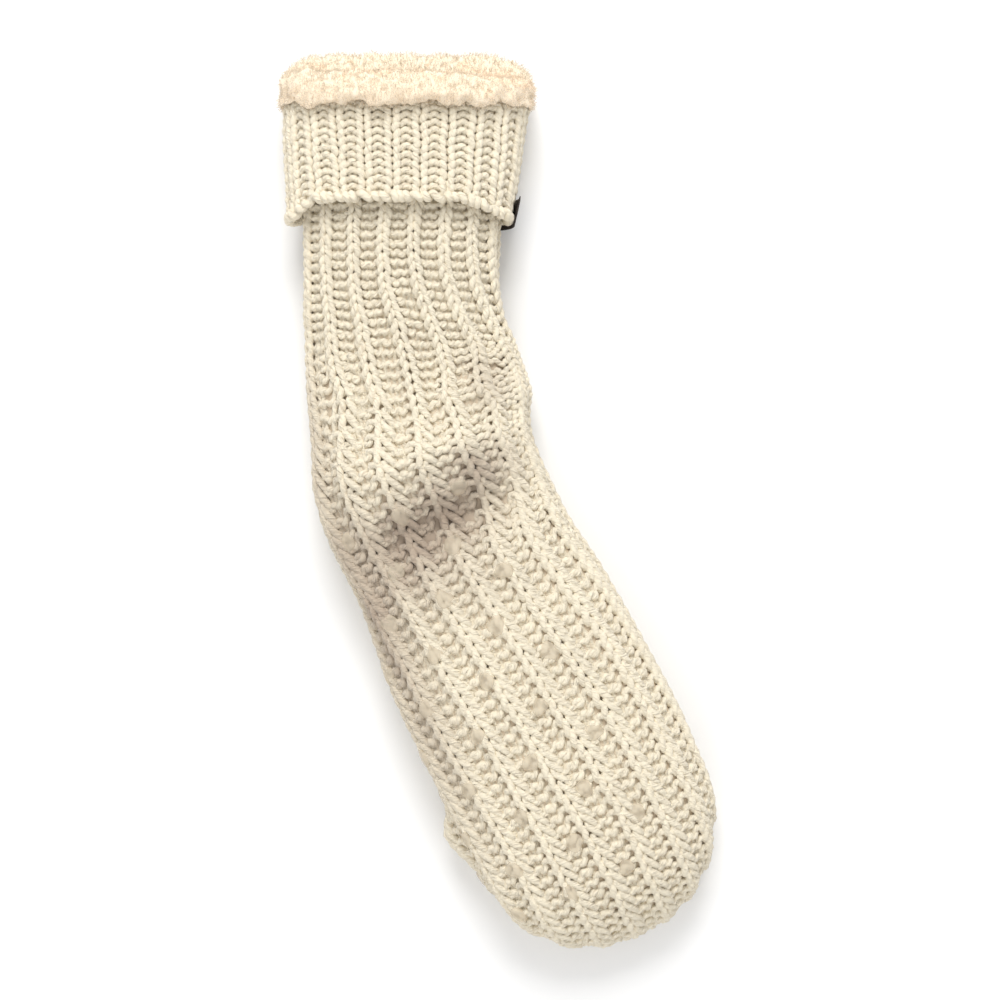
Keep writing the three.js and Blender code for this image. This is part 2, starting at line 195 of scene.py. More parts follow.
# %% A surface kept as a grid
def between(grid, r, c):
    """A grid of vectors, read at places between its rows and columns."""
    i = np.minimum(r.astype(int), grid.shape[0] - 2)
    j = np.minimum(c.astype(int), grid.shape[1] - 2)
    u, v = (r - i)[..., None], (c - j)[..., None]
    return mix(mix(grid[i, j], grid[i, j + 1], v), mix(grid[i + 1, j], grid[i + 1, j + 1], v), u)


ROUND_STEPS = 325
SEAM = 4  # columns kept twice, so that a slope is true where a section closes
round_share = np.linspace(0, 1, ROUND_STEPS)
wrapped_share = np.concatenate(
    [round_share[-SEAM - 1 : -1] - 1, round_share, 1 + round_share[1 : SEAM + 1]]
)


class Surface:
    """A closed grid of points, read at any row and share, with the side that faces out."""

    def __init__(self, points, rows):
        ends = points[:, -SEAM - 1 : -1], points, points[:, 1 : SEAM + 1]
        self.points, self.rows = np.concatenate(ends, 1), rows
        along, across = (np.gradient(self.points, axis=axis) for axis in (0, 1))
        self.normals = unit(np.cross(along, across))

    def at(self, row, share):
        r = np.interp(row, self.rows, np.arange(len(self.rows)))
        c = np.interp(share % 1.0, wrapped_share, np.arange(len(wrapped_share)))
        return between(self.points, r, c), unit(between(self.normals, r, c))


# %% Sections of the sock
runs_of_rows = [-row[0] * LEG_RUN for row in LEG_ROWS] + [row[0] * FOOT_RUN for row in FOOT_ROWS]


def table_column(of_leg, of_foot):
    values = [of_leg(row) for row in LEG_ROWS] + [of_foot(row) for row in FOOT_ROWS]
    return curve_through(runs_of_rows, values)


back_at = table_column(lambda row: row[1] * LEG_WIDTH, lambda row: row[1] * BALL_WIDTH)
front_at = table_column(lambda row: row[2] * LEG_WIDTH, lambda row: row[2] * BALL_WIDTH)
lift_at = table_column(lambda row: row[3] * LEG_LIFT, lambda row: 0)
thick_at = table_column(lambda row: LEG_THICK, lambda row: row[3] * FOOT_THICK + FLOOR_PRESS)


def spine_at(run):
    tangent = BEND_RADIUS * math.tan(FOOT_TURN / 2)
    angle = FOOT_TURN * np.clip((run + tangent) / (2 * tangent), 0, 1)
    ahead = np.stack([np.sin(angle), -np.cos(angle)], -1)
    side = np.stack([np.cos(angle), np.sin(angle)], -1)
    beyond = np.sign(run) * np.maximum(0, np.abs(run) - tangent)
    point = np.array([BEND_RADIUS, tangent]) - BEND_RADIUS * side + ahead * beyond[..., None]
    return point, side


def section_at(run):
    t = np.clip((run - TOE_START) / TOE_ROUND, 0, 1)
    low = lift_at(run) - FLOOR_PRESS
    half = thick_at(run) / 2 * np.sqrt(1 - t**3)
    middle = mix(low + thick_at(run) / 2, TOE_NOSE, t**3)
    back = back_at(run) * (1 - t**TOE_SOLE_ROUND) ** (1 / TOE_SOLE_ROUND)
    front = front_at(run) * (1 - t**TOE_INSTEP_ROUND) ** (1 / TOE_INSTEP_ROUND)
    return back, front, middle - half, middle + half


OUTLINE_QUARTER = 60  # fine steps in each quarter of an outline


def outline(back, front, low, high):
    """Even points round each section from the middle of its upper face, and its marks: the length
    to the front edge, to the middle below, to the back edge, and all the way round."""
    fine = np.linspace(0, 1, 4 * OUTLINE_QUARTER + 1)
    over, out = np.cos(TAU * fine), np.sin(TAU * fine)
    power = np.where(over > 0, 2 / FACE_ROUND, 2 / FLOOR_ROUND)
    width = np.where(out > 0, front[:, None], back[:, None])
    half = ((high - low) / 2)[:, None]
    across = np.sign(out) * width * np.abs(out) ** power
    up = ((low + high) / 2)[:, None] + np.sign(over) * half * np.abs(over) ** power
    steps = (np.diff(v, prepend=v[:, :1]) for v in (across, up))
    length = np.cumsum(np.hypot(*steps), 1)
    points = [
        np.stack([np.interp(round_share, l / l[-1], a), np.interp(round_share, l / l[-1], u)], -1)
        for l, a, u in zip(length, across, up)
    ]
    return np.array(points), length[:, OUTLINE_QUARTER::OUTLINE_QUARTER]


def sock_points(runs):
    """Points of the sock's crest level at each run, evenly round, and the marks of each section."""
    flat, marks = outline(*section_at(runs))
    back, _, low, high = (v[:, None] for v in section_at(runs))
    across, up = flat[..., 0], flat[..., 1]
    layer = 1 - smoothstep(up, mix(low, high, FLAP_UNDER), mix(low, high, FLAP_TOP))
    edge = smoothstep(-across, FLAP_EDGE * back, back)
    start = FLAP_FROM + FLAP_FADE
    flap = smoothstep(runs, FLAP_FROM, start) * (1 - smoothstep(runs, start, FLAP_TO))
    across = across - FLAP_OUT * flap[:, None] * layer * edge
    spine, side = spine_at(runs)
    level = spine[:, None, :] + side[:, None, :] * across[..., None]
    crease = hills(CREASES, runs[:, None], across) * smoothstep(up, (low + high) / 2, high)
    return np.concatenate([level, np.maximum(up + crease, 0)[..., None]], -1), marks


body_runs = np.arange(-LEG_RUN, TOE_START + 0.5, 1.0)
body_points, body_marks = sock_points(body_runs)
body = Surface(body_points, body_runs)
print("round the leg and the ball, mm:", body_marks[0, 3].round(1), body_marks[-1, 3].round(1))


def around_at(run):
    """The length round the sock."""
    return np.interp(run, body_runs, body_marks[:, 3])


# %% [markdown]
# ## The toe
# At the toe the ribs do not come together: they run straight on and wrap over the rounded edge,
# and the ribs at the sides stop first. So each line of stitches keeps its distance from the
# middle line of the upper face (or of the floor side), and its course over the edge is measured
# along its own curve.

# %% Lines over the toe, for the upper face and for the floor side
NEARLY = 0.9999  # the tip of the toe has no width, so the lines stop just before it
TOE_REACH, TOE_STEP = 96.0, 0.5
TOE_LINES, TOE_TURNS, SWEEP_HALF = 181, 91, 60
TOE_SHARE = 0.995  # of the half width, where the outermost line starts
toe_turn = np.linspace(0, PI / 2, TOE_TURNS)
toe_points, toe_marks = sock_points(TOE_START + TOE_ROUND * np.sin(toe_turn) * NEARLY)
toe = Surface(toe_points, toe_turn)
start_marks = toe_marks[0]
toe_steps = np.arange(0, TOE_REACH, TOE_STEP)


def toe_line(distance, below):
    """One line over the toe at a distance from the middle line, at even steps, and its length to
    the edge of the toe."""
    front, under, back, total = toe_marks.T
    middle = under if below else 0 * under
    if distance > 0:
        edge = (back if below else front) - middle
    else:
        edge = (front - under) if below else back - total
    alive = np.abs(distance) < np.abs(edge)
    last = np.argmin(alive) if not alive.all() else len(alive) - 1
    before = max(last - 1, 0)
    a0, a1 = np.abs(edge[before]), np.abs(edge[last])
    part = np.clip((a0 - abs(distance)) / max(a0 - a1, 1e-6), 0, 1)
    end = mix(math.sin(toe_turn[before]), math.sin(toe_turn[last]), part)
    sweep = np.linspace(0, PI, 2 * SWEEP_HALF + 1)
    turn = np.arcsin(np.clip(end * np.sin(sweep), 0, 1))
    edge_here, middle_here, total_here = (
        np.interp(turn, toe_turn, v) for v in (edge, middle, total)
    )
    place = np.where(sweep <= PI / 2, distance, 2 * edge_here - distance)
    lines = toe.at(turn, (middle_here + place) / total_here)
    steps = np.linalg.norm(np.diff(lines[0], axis=0), axis=-1)
    length = np.concatenate([[0], np.cumsum(steps)])
    points, normals = (
        np.stack([np.interp(toe_steps, length, line[:, k]) for k in range(3)], -1)
        for line in lines
    )
    return points, unit(normals), length[SWEEP_HALF]


class ToeSide:
    """All the lines over one side of the toe."""

    def __init__(self, below):
        front, under, back, total = start_marks
        self.middle = under if below else 0.0
        low = (front - under) if below else back - total
        high = (back - under) if below else front
        self.distances = np.linspace(low * TOE_SHARE, high * TOE_SHARE, TOE_LINES)
        lines = [toe_line(distance, below) for distance in self.distances]
        self.points, self.normals, self.ends = (np.array(v) for v in zip(*lines))

    def distance(self, share):
        half = start_marks[3] / 2
        return (share * start_marks[3] - self.middle + half) % start_marks[3] - half

    def read(self, grid, share, past):
        r = np.interp(self.distance(share), self.distances, np.arange(TOE_LINES))
        return between(grid, r, np.clip(past / TOE_STEP, 0, len(toe_steps) - 1.001))

    def end(self, share):
        return np.interp(self.distance(share), self.distances, self.ends)


toe_sides = {False: ToeSide(False), True: ToeSide(True)}
print("lines over the toe end after, mm:", toe_sides[False].ends.max().round(1))


def is_below(share):
    """True where a rib belongs to the floor side at the toe."""
    length = (share % 1.0) * start_marks[3]
    return (length > start_marks[0]) & (length < start_marks[2])


def lay(share, run, below):
    """Where a place on the sock lies and which way is out. Past the start of the toe, run goes on
    along the lines over the toe."""
    points, normals = body.at(np.clip(run, -LEG_RUN, TOE_START), share)
    past = run - TOE_START
    for side, sheet in toe_sides.items():
        here = (past > 0) & (below == side)
        if here.any():
            points[here] = sheet.read(sheet.points, share[here], past[here])
            normals[here] = unit(sheet.read(sheet.normals, share[here], past[here]))
    return points, normals


# %% [markdown]
# ## The turned-down cuff
# The cuff is the start of the same tube, folded down over the leg, so its inside shows and its
# stitches point up. Its surface goes from the hem to the fold and a little way over it.

# %% The cuff's surface
cuff_places, cuff_backs, cuff_fronts = np.array(CUFF_ROWS).T
cuff_back = curve_through(cuff_places, cuff_backs * CUFF_WIDTH)
cuff_front = curve_through(cuff_places, cuff_fronts * CUFF_WIDTH)
HEM_BELOW = 0.03  # share of the cuff that the surface goes on below the hem
CUFF_RINGS, FOLD_TURNS = 60, np.linspace(0.04, 0.7, 12)


def cuff_outline(shares, inset=0.0):
    low = np.full_like(shares, inset - FLOOR_PRESS)
    high = np.full_like(shares, CUFF_THICK - FLOOR_PRESS - inset)
    return outline(cuff_back(shares) - inset, cuff_front(shares) - inset, low, high)


def cuff_points(shares):
    flat, _ = cuff_outline(shares)
    x, z = flat[..., 0], flat[..., 1]
    share = shares[:, None]
    flat_part = np.where(x > 0, HEM_FLAT_FRONT, HEM_FLAT_BACK)
    arch = HEM_ARCH * (1 - smoothstep(2 * np.abs(x) / CUFF_WIDTH, flat_part, HEM_ENDS)) * share
    slant = FOLD_SLANT * (0.5 - np.clip(z / CUFF_THICK, 0, 1))
    y = LEG_RUN - share * CUFF_HEIGHT + arch + slant * (1 - share)
    return np.stack([x, y, np.maximum(z, 0)], -1)


fold_edge = cuff_points(np.zeros(1))[0]


def over_fold(turns):
    """Rings over the rounded fold, from its outer edge (0) towards the inside of the leg (1)."""
    leg_flat = outline(*section_at(np.full(1, -LEG_RUN)))[0][0]
    inner = np.stack([leg_flat[:, 0], fold_edge[:, 1], leg_flat[:, 1]], -1)
    inner = inner - unit((inner - inner.mean(0)) * [1, 0, 1]) * CUFF_WALL
    angle = PI * turns[:, None, None]
    ring = mix(inner[None], fold_edge[None], (1 + np.cos(angle)) / 2)
    ring[..., 1] = fold_edge[None, :, 1] + FOLD_RISE * np.sin(angle[..., 0])
    ring[..., 2] = np.maximum(ring[..., 2], 0)
    return ring


up_shares = np.linspace(1 + HEM_BELOW, 0, CUFF_RINGS)
cuff_grid = np.concatenate([cuff_points(up_shares), over_fold(FOLD_TURNS)])
cuff_grid = cuff_grid[:, ::-1]  # its other side faces out
climb = np.linalg.norm(np.diff(cuff_grid, axis=0), axis=-1).mean(1)
cuff_heights = np.concatenate([[0], np.cumsum(climb)]) - HEM_BELOW * CUFF_HEIGHT
cuff = Surface(cuff_grid, cuff_heights)
print("hem to the top of the fold, mm:", cuff_heights[-1].round(1))

# %% [markdown]
# ## One loop of yarn
# A knitted stitch is one wave of the yarn: it comes from its neighbour, rises through the loop
# before, turns over its head and goes down again. Seen from above the wave is shaped like the
# letter omega. In a knit stitch the two legs lie in front, in a purl stitch its head and feet do.
# Sines make this wave, and one rule lays it on any surface.

# %% The wave of one stitch, and yarn in lengths
STEPS = 12
wave = np.arange(STEPS)[None, :] / STEPS
LEAN_RIGHT, LEAN_LEFT = (0.62, 0.17), (0.25, 0.16)  # where along the wave its legs lean, how long
LEAN_LESS = 0.45  # how much less the left leg leans
JOINT = 0.125  # share of the wave that lies flat beside a stitch of the other kind


def stitch_wave(knit, head, lean, tall):
    """Places along the wave of each stitch: across in shares of its width, along in courses and
    depth in shares of the loop's depth. knit is 1 for a knit stitch and -1 for a purl stitch.
    head: how wide it is. lean: how far the right leg reaches into the channel. tall: the height
    of the loop in courses."""
    before, after = ((knit != np.roll(knit, turn))[:, None] for turn in (1, -1))
    beside = np.where(wave < 0.5, np.roll(tall, 1)[:, None], np.roll(tall, -1)[:, None])
    knit, head, lean, tall = (v[:, None] for v in (knit, head, lean, tall))
    reach = bump(wave, *LEAN_RIGHT) + LEAN_LESS * bump(wave, *LEAN_LEFT)
    across = wave + head * np.sin(2 * TAU * wave) + lean * reach
    height = mix(tall, (tall + beside) / 2, (1 + np.cos(TAU * wave)) / 2)
    along = -np.cos(TAU * wave) / 2 * height
    flat = (before & (wave < JOINT)) | (after & (wave > 1 - JOINT))
    return across, along, np.where(flat, 0, -knit * np.cos(2 * TAU * wave))


class Yarn:
    """The middle line of yarn, in lengths, ready to be swept into thread."""

    def __init__(self):
        self.points, self.thick, self.soil, self.edges = [], [], [], []
        self.count = 0

    def add(self, points, thick, closed, soil=None):
        n = len(points)
        lengths = [points, thick, np.zeros(n) if soil is None else soil]
        pairs = np.stack([np.arange(n - 1), np.arange(1, n)], -1) + self.count
        if closed:  # its ends meet on the floor side
            lengths = [np.roll(values, n // 2, 0) for values in lengths]
            pairs = np.concatenate([pairs, [[self.count + n - 1, self.count]]])
        lists = self.points, self.thick, self.soil, self.edges
        for kept, values in zip(lists, [*lengths, pairs]):
            kept.append(values)
        self.count += n

    def mesh(self, name):
        mesh = bpy.data.meshes.new(name)
        points = (np.concatenate(self.points) + SHIFT) * MM
        mesh.vertices.add(self.count)
        mesh.vertices.foreach_set("co", points.astype(np.float32).ravel())
        edges = np.concatenate(self.edges)
        mesh.edges.add(len(edges))
        mesh.edges.foreach_set("vertices", edges.astype(np.int32).ravel())
        keep_on_points(mesh, "thick", np.concatenate(self.thick) * MM)
        # the painted shade of each point, for the material
        keep_on_points(mesh, "soil", np.concatenate(self.soil))
        return mesh


def keep_on_points(mesh, name, values):
    attribute = mesh.attributes.new(name, "FLOAT", "POINT")
    attribute.data.foreach_set("value", values.astype(np.float32))


# %% [markdown]
# ## The thread itself
# A sweep turns a line into thread. Geometry Nodes do it here: the line becomes a curve, a small
# ring goes along it, and each point keeps its place round and along the thread, so that the
# material can twist its plies.


# %% Helpers for node trees
def new_tree(name, sockets):
    """A tree for geometry, and the identifiers of its inputs."""
    tree = bpy.data.node_groups.new(name, "GeometryNodeTree")
    add_socket = tree.interface.new_socket
    ids = {
        label: add_socket(label, in_out="INPUT", socket_type="NodeSocket" + kind).identifier
        for label, kind in {"Geometry": "Geometry", **sockets, "Material": "Material"}.items()
    }
    add_socket("Geometry", in_out="OUTPUT", socket_type="NodeSocketGeometry")
    return tree, ids


def first_output(node):
    return [socket for socket in node.outputs if socket.enabled][0]


def add_node(tree, kind, links=None, **values):
    """A new node. Each of its links is a plain value, a socket or another node."""
    node = tree.nodes.new(kind)
    for key, value in values.items():
        setattr(node, key, value)
    for socket, source in (links or {}).items():
        if hasattr(source, "outputs"):
            source = first_output(source)
        if hasattr(source, "links"):
            tree.links.new(source, node.inputs[socket])
        else:
            node.inputs[socket].default_value = source
    return node


def dress_tree(tree, geometry, material):
    """The last nodes of a tree: its geometry gets the material and goes out."""
    links = {"Geometry": geometry, "Material": material}
    dressed = add_node(tree, "GeometryNodeSetMaterial", links)
    add_node(tree, "NodeGroupOutput", {"Geometry": dressed})


# %% A tree that sweeps lines into thread
THREAD_SIDES = 6
thread_tree, thread_ids = new_tree("sweep_thread", {})


def build_thread_tree(tree):
    source = add_node(tree, "NodeGroupInput").outputs
    curve = add_node(tree, "GeometryNodeMeshToCurve", {"Mesh": source["Geometry"]})
    thick = add_node(tree, "GeometryNodeInputNamedAttribute", {"Name": "thick"}, data_type="FLOAT")
    along = add_node(tree, "GeometryNodeSplineParameter")
    ring = add_node(
        tree, "GeometryNodeCurvePrimitiveCircle", {"Resolution": THREAD_SIDES, "Radius": 1.0}
    )
    kept, kept_ring = (
        add_node(
            tree,
            "GeometryNodeStoreNamedAttribute",
            {"Geometry": geometry, "Name": name, "Value": value},
            data_type=kind,
            domain="POINT",
        )
        for geometry, name, value, kind in (
            (curve, "thread_along", along.outputs["Length"], "FLOAT"),
            (ring, "thread_round", add_node(tree, "GeometryNodeInputPosition"), "FLOAT_VECTOR"),
        )
    )
    links = {"Curve": kept, "Profile Curve": kept_ring, "Scale": thick, "Fill Caps": True}
    swept = add_node(tree, "GeometryNodeCurveToMesh", links)
    smooth = add_node(tree, "GeometryNodeSetShadeSmooth", {"Geometry": swept})
    dress_tree(tree, smooth, source["Material"])


build_thread_tree(thread_tree)


def in_scene(name, data):
    piece = bpy.data.objects.new(name, data)
    bpy.context.scene.collection.objects.link(piece)
    return piece


def grown(mesh, name, tree, values):
    """The plain mesh that a tree makes of another mesh, in an object of its own."""
    carrier = in_scene("carrier", mesh)
    modifier = carrier.modifiers.new("grow", "NODES")
    modifier.node_group = tree
    for identifier, value in values.items():
        modifier[identifier] = value
    depsgraph = bpy.context.evaluated_depsgraph_get()
    evaluated = carrier.evaluated_get(depsgraph)
    result = bpy.data.meshes.new_from_object(evaluated, depsgraph=depsgraph)
    bpy.data.objects.remove(carrier)
    result.name = name
    print(f"{name}: {sum(len(p.vertices) - 2 for p in result.polygons)} triangles")
    return in_scene(name, result)


def threads(yarn, name, material):
    return grown(yarn.mesh(name + "_line"), name, thread_tree, {thread_ids["Material"]: material})


# %% [markdown]
# ## Materials
# Wool yarn is a few plies twisted together, with short fibres that stand off it. Silicone is
# smooth and half clear, fleece is a dense pile, and the tab is a tight dark weave. Each of them
# gets its own material, and the fine noise that they share is one node group.


# %% Shader helpers and the shared group for fine fibres
def shade_math(tree, operation, a, b):
    return first_output(add_node(tree, "ShaderNodeMath", {0: a, 1: b}, operation=operation))


def plus(tree, a, b):
    return shade_math(tree, "ADD", a, b)


def times(tree, a, b):
    return shade_math(tree, "MULTIPLY", a, b)


def weighed(tree, *parts):
    """The sum of values, each times its weight."""
    total = times(tree, *parts[0])
    for part in parts[1:]:
        total = plus(tree, total, times(tree, *part))
    return total


def limited(tree, value, most=1.0):
    return shade_math(tree, "MINIMUM", shade_math(tree, "MAXIMUM", value, 0.0), most)


def shade_mix(tree, factor, dark, light):
    node = add_node(tree, "ShaderNodeMix", data_type="RGBA")
    for label, value in (("Factor", factor), ("A", dark), ("B", light)):
        target = [s for s in node.inputs if s.name == label and s.enabled][0]
        if hasattr(value, "links"):
            tree.links.new(value, target)
        else:
            target.default_value = (*value, 1.0)
    return first_output(node)


def attribute(tree, name, output="Fac"):
    return add_node(tree, "ShaderNodeAttribute", attribute_name=name).outputs[output]


def object_place(tree):
    return add_node(tree, "ShaderNodeTexCoord").outputs["Object"]


fibre_group = bpy.data.node_groups.new("fine_fibres", "ShaderNodeTree")
FIBRE_SOCKETS = (("Fibre Size", "Fibres", 3.0), ("Cloud Size", "Clouds", 2.0))


def build_fibre_group(tree):
    for size, result, _ in FIBRE_SOCKETS:
        tree.interface.new_socket(size, in_out="INPUT", socket_type="NodeSocketFloat")
        tree.interface.new_socket(result, in_out="OUTPUT", socket_type="NodeSocketFloat")
    source = add_node(tree, "NodeGroupInput").outputs
    place = object_place(tree)
    noises = {}
    for size, result, detail in FIBRE_SOCKETS:
        links = {"Vector": place, "Scale": source[size], "Detail": detail}
        noises[result] = add_node(tree, "ShaderNodeTexNoise", links).outputs["Fac"]
    add_node(tree, "NodeGroupOutput", noises)


build_fibre_group(fibre_group)


def fibres(tree, fibre_size, cloud_size):
    node = add_node(tree, "ShaderNodeGroup")
    node.node_tree = fibre_group
    node.inputs["Fibre Size"].default_value = fibre_size
    node.inputs["Cloud Size"].default_value = cloud_size
    return node.outputs["Fibres"], node.outputs["Clouds"]


def new_material(name):
    material = bpy.data.materials.new(name)
    material.use_nodes = True
    return material, material.node_tree


def dress_skin(material, colour, relief, values):
    """Links a colour and a relief (height, strength, distance) to the skin, and sets its values."""
    tree = material.node_tree
    skin = tree.nodes["Principled BSDF"]
    tree.links.new(colour, skin.inputs["Base Color"])
    if relief:
        links = dict(zip(("Height", "Strength", "Distance"), relief))
        tree.links.new(first_output(add_node(tree, "ShaderNodeBump", links)), skin.inputs["Normal"])
    for label, value in values.items():
        skin.inputs[label].default_value = value
    return material


# %% Wool yarn: three plies twisted together
CREAM, CREAM_SHADE = (0.87, 0.785, 0.615), (0.62, 0.515, 0.375)
# the colour of the painted shade in the folds and along the edges
PAINTED_SHADE_COLOUR = (0.40, 0.31, 0.235)
STRAND_WIDE, STRAND_LONG = 1.7, 380.0  # how fine the strands are across and along the yarn
PLY_TURN, PLY_LAY = 3.0, 7.5  # plies of the yarn, and millimetres in which one goes once round
GROOVE_SHARP = 0.6
DARKER = 0.76  # taken off the sum of the tones


def wool_yarn():
    material, tree = new_material("wool_yarn")
    split = add_node(
        tree, "ShaderNodeSeparateXYZ", {0: attribute(tree, "thread_round", "Vector")}
    ).outputs
    along = attribute(tree, "thread_along")
    angle = shade_math(tree, "ARCTAN2", split["Y"], split["X"])
    phase = weighed(tree, (angle, PLY_TURN), (along, PLY_TURN * TAU / (PLY_LAY * MM)))
    wave_ = shade_math(tree, "SINE", times(tree, phase, 0.5), 0.0)
    groove = shade_math(tree, "POWER", shade_math(tree, "ABSOLUTE", wave_, 0.0), GROOVE_SHARP)
    lay_ = times(tree, phase, 1 / PLY_TURN)
    line = {
        "X": times(tree, shade_math(tree, "COSINE", lay_, 0.0), STRAND_WIDE),
        "Y": times(tree, shade_math(tree, "SINE", lay_, 0.0), STRAND_WIDE),
        "Z": times(tree, along, STRAND_LONG),
    }
    place = add_node(tree, "ShaderNodeCombineXYZ", line)
    links = {"Vector": place, "Scale": 1.0, "Detail": 2.0}
    strand = add_node(tree, "ShaderNodeTexNoise", links).outputs["Fac"]
    fine, clouds = fibres(tree, 1500.0, 45.0)
    height = weighed(tree, (groove, 0.4), (fine, 0.6), (strand, 2.2))
    # the tone is random noise of strands, fibres and clouds, with painted shade in the grooves
    # between the plies
    tone = weighed(tree, (groove, 0.3), (fine, 0.3), (clouds, 0.3), (strand, 2.6))
    tone = limited(tree, shade_math(tree, "SUBTRACT", tone, DARKER))
    # painted shade: the yarn turns darker brown where the folds and edges lie in shade
    shade_amount = times(tree, limited(tree, attribute(tree, "soil")), plus(tree, clouds, 0.4))
    colour = shade_mix(tree, shade_amount, shade_mix(tree, tone, CREAM_SHADE, CREAM), PAINTED_SHADE_COLOUR)
    values = {"Roughness": 0.95, "Sheen Weight": 0.25, "Sheen Roughness": 0.5}
    return dress_skin(material, colour, (height, 1.0, 0.0005), values)


wool = wool_yarn()

# %% [markdown]
# ## Knitting the foot and leg
# The rib is one knit column and two purl columns, eighteen times round. The courses are closer
# together on the leg, where the yarn is pulled tight, than on the foot. Each course is one
# closed wave of yarn. At the toe only the part that lies inside the rounded end is knitted.

# %% Sizes of the stitches. A pair of values is for the leg and for the foot
RIB_WIDTHS = np.array([0.42, 0.29, 0.29])  # knit column and two purl columns, shares of a rib
RIB_KNIT = [1, -1, -1]
PITCH, YARN = (4.15, 5.55), (1.28, 1.56)  # from course to course, and radius
KNIT_HEAD, PURL_HEAD = (0.22, 0.21), (0.12, 0.17)
KNIT_LEAN, PURL_TALL = (0.06, 0.42), (1.22, 1.40)
KNIT_TALL = 1.62  # height of a loop, in courses
RIB_RELIEF, CREST_HALF, CHANNEL_HALF = 1.4, 0.10, 0.30  # depth of the channels, and their sides
LOOP_DEPTH, PURL_DEEPER = 0.85, 1.5
LEG_SWELL = 0.17  # how much thicker the yarn lies in the legs of a knit stitch
FIRST_RUN = -94.0
JITTER, SLUB = 0.22, 0.05  # unevenness of the stitches, in mm, and of the yarn
SAG = 2.0  # how far the courses hang down between the ribs of the foot
SAG_FROM, SAG_WIDE = 0.12, 0.74  # where they hang, shares of a rib
TAUT_HEIGHT, TAUT_DEPTH, TAUT_RELIEF = 0.85, 0.8, 0.6  # what a stretched purl stitch loses
TOE_EXTRA = 0.35  # courses by which the upper face goes on over the floor side at the toe
seed = np.random.default_rng(18)

# run, spread: how much further apart the ribs of the upper face lie than those of the floor side
SPREAD_ROWS = [
    (-100, 0.12), (-60, 0.13), (-30, 0.27), (0, 0.28), (40, 0.26), (80, 0.16), (186, 0.12),
]
# run, shift: how far all ribs lie towards the instep, in millimetres
SHIFT_ROWS = [
    (-90, -7.0), (-60, -7.4), (-30, 0.0), (-12, 2.4), (5, 1.3), (20, -3.2), (40, -5.4),
    (66, -7.5), (125, -2.8), (186, -0.5),
]
# where ribs are pushed aside: run and place round (mm from the middle line of the upper face),
# reach along and round, and how far they are pushed
PUSH_ROWS = [
    (-6.0, -30.0, 11.0, 10.0, 5.0),
    (-2.0, -14.0, 9.0, 7.0, 2.5),
    (-5.0, 16.0, 9.0, 8.0, -2.5),
    (-10.0, 33.0, 10.0, 11.0, -4.5),
    (36.0, 30.0, 22.0, 20.0, 4.0),
]
# where courses slant: the same columns, and how far they rise across it
SLANT_ROWS = [
    (-9.0, -37.0, 16.0, 11.0, -6.5),
    (-19.0, 43.0, 12.0, 10.0, 5.5),
    (70.0, -30.0, 30.0, 14.0, 2.0),
]
# where the fabric is stretched so far that the purl loops lie as straight bars, and how much
STRETCH_ROWS = [(-9.0, -35.0, 16.0, 6.0, 1.3), (-19.0, 42.0, 12.0, 6.0, 1.3)]
# where shade is painted on the yarn, in the folds and along the edges, and how much
PAINTED_SHADE_ROWS = [
    (46.0, -6.0, 13.0, 26.0, 0.95),
    (34.0, 22.0, 10.0, 16.0, 0.7),
    (62.0, -50.0, 50.0, 14.0, 0.75),
    (125.0, -52.0, 50.0, 11.0, 0.35),
    (55.0, -26.0, 16.0, 15.0, 0.5),
    (-5.0, -48.0, 25.0, 8.0, 0.3),
    (72.0, -8.0, 14.0, 26.0, 0.2),
    (-8.0, 36.0, 15.0, 12.0, 0.35),
]
# slow waves of the knit: height in mm, run in which one passes, times round, start
WANDER_WAVES = [(0.5, 31, 2, 0.6), (0.4, 17, 5, 2.1)]
SWAY_WAVES = [(0.8, 43, 3, 0.0), (0.5, 19, 7, 1.3)]
CALM_LEG, WANDER_FULL, SWAY_FULL = -90, -20, -30  # runs between which they set in
spread_at = curve_through(*zip(*SPREAD_ROWS))
shift_at = curve_through(*zip(*SHIFT_ROWS))


# %% Where a stitch lies
def footness(run):
    return smoothstep(run, FOOT_FROM, FOOT_FULL)


def drift_at(run):
    return RIB_DRIFT / RIBS * np.clip(run / FOOT_RUN, 0, TOE_START / FOOT_RUN)


def rib_level(share):
    """How far the fabric lies below the crest of a rib."""
    off = np.abs((share * RIBS + 0.5) % 1.0 - 0.5)
    return -RIB_RELIEF * smoothstep(off, CREST_HALF, CHANNEL_HALF)


def spread(share, run):
    """Share at which a rib really lies, from the share that even ribs would have."""
    return share + spread_at(run) / TAU * np.sin(TAU * share)


def length_round(share, run):
    return ((share + 0.5) % 1.0 - 0.5) * around_at(run)


def waves(rows, share, run):
    return sum(
        high * np.sin(run / long + times_round * (TAU * share) + start)
        for high, long, times_round, start in rows
    )


def wander(share, run):
    """Sideways wandering of the ribs, in millimetres."""
    slow = waves(WANDER_WAVES, share, run) * smoothstep(run, CALM_LEG, WANDER_FULL)
    return slow + shift_at(run) + hills(PUSH_ROWS, run, length_round(share, run))


def sway(share, run):
    """How far the courses sag and rise round the sock, in millimetres."""
    place = length_round(share, run)
    slants = (hills([row], run, place) * (place - row[1]) / row[3] for row in SLANT_ROWS)
    return waves(SWAY_WAVES, share, run) * smoothstep(run, CALM_LEG, SWAY_FULL) + sum(slants)


def stretched(share, run):
    return np.minimum(hills(STRETCH_ROWS, run, length_round(share, run)), 1.0)


def soil(share, run):
    """How much painted shade darkens the yarn, in the folds and along the edge by the sole."""
    return hills(PAINTED_SHADE_ROWS, run, length_round(share, run))


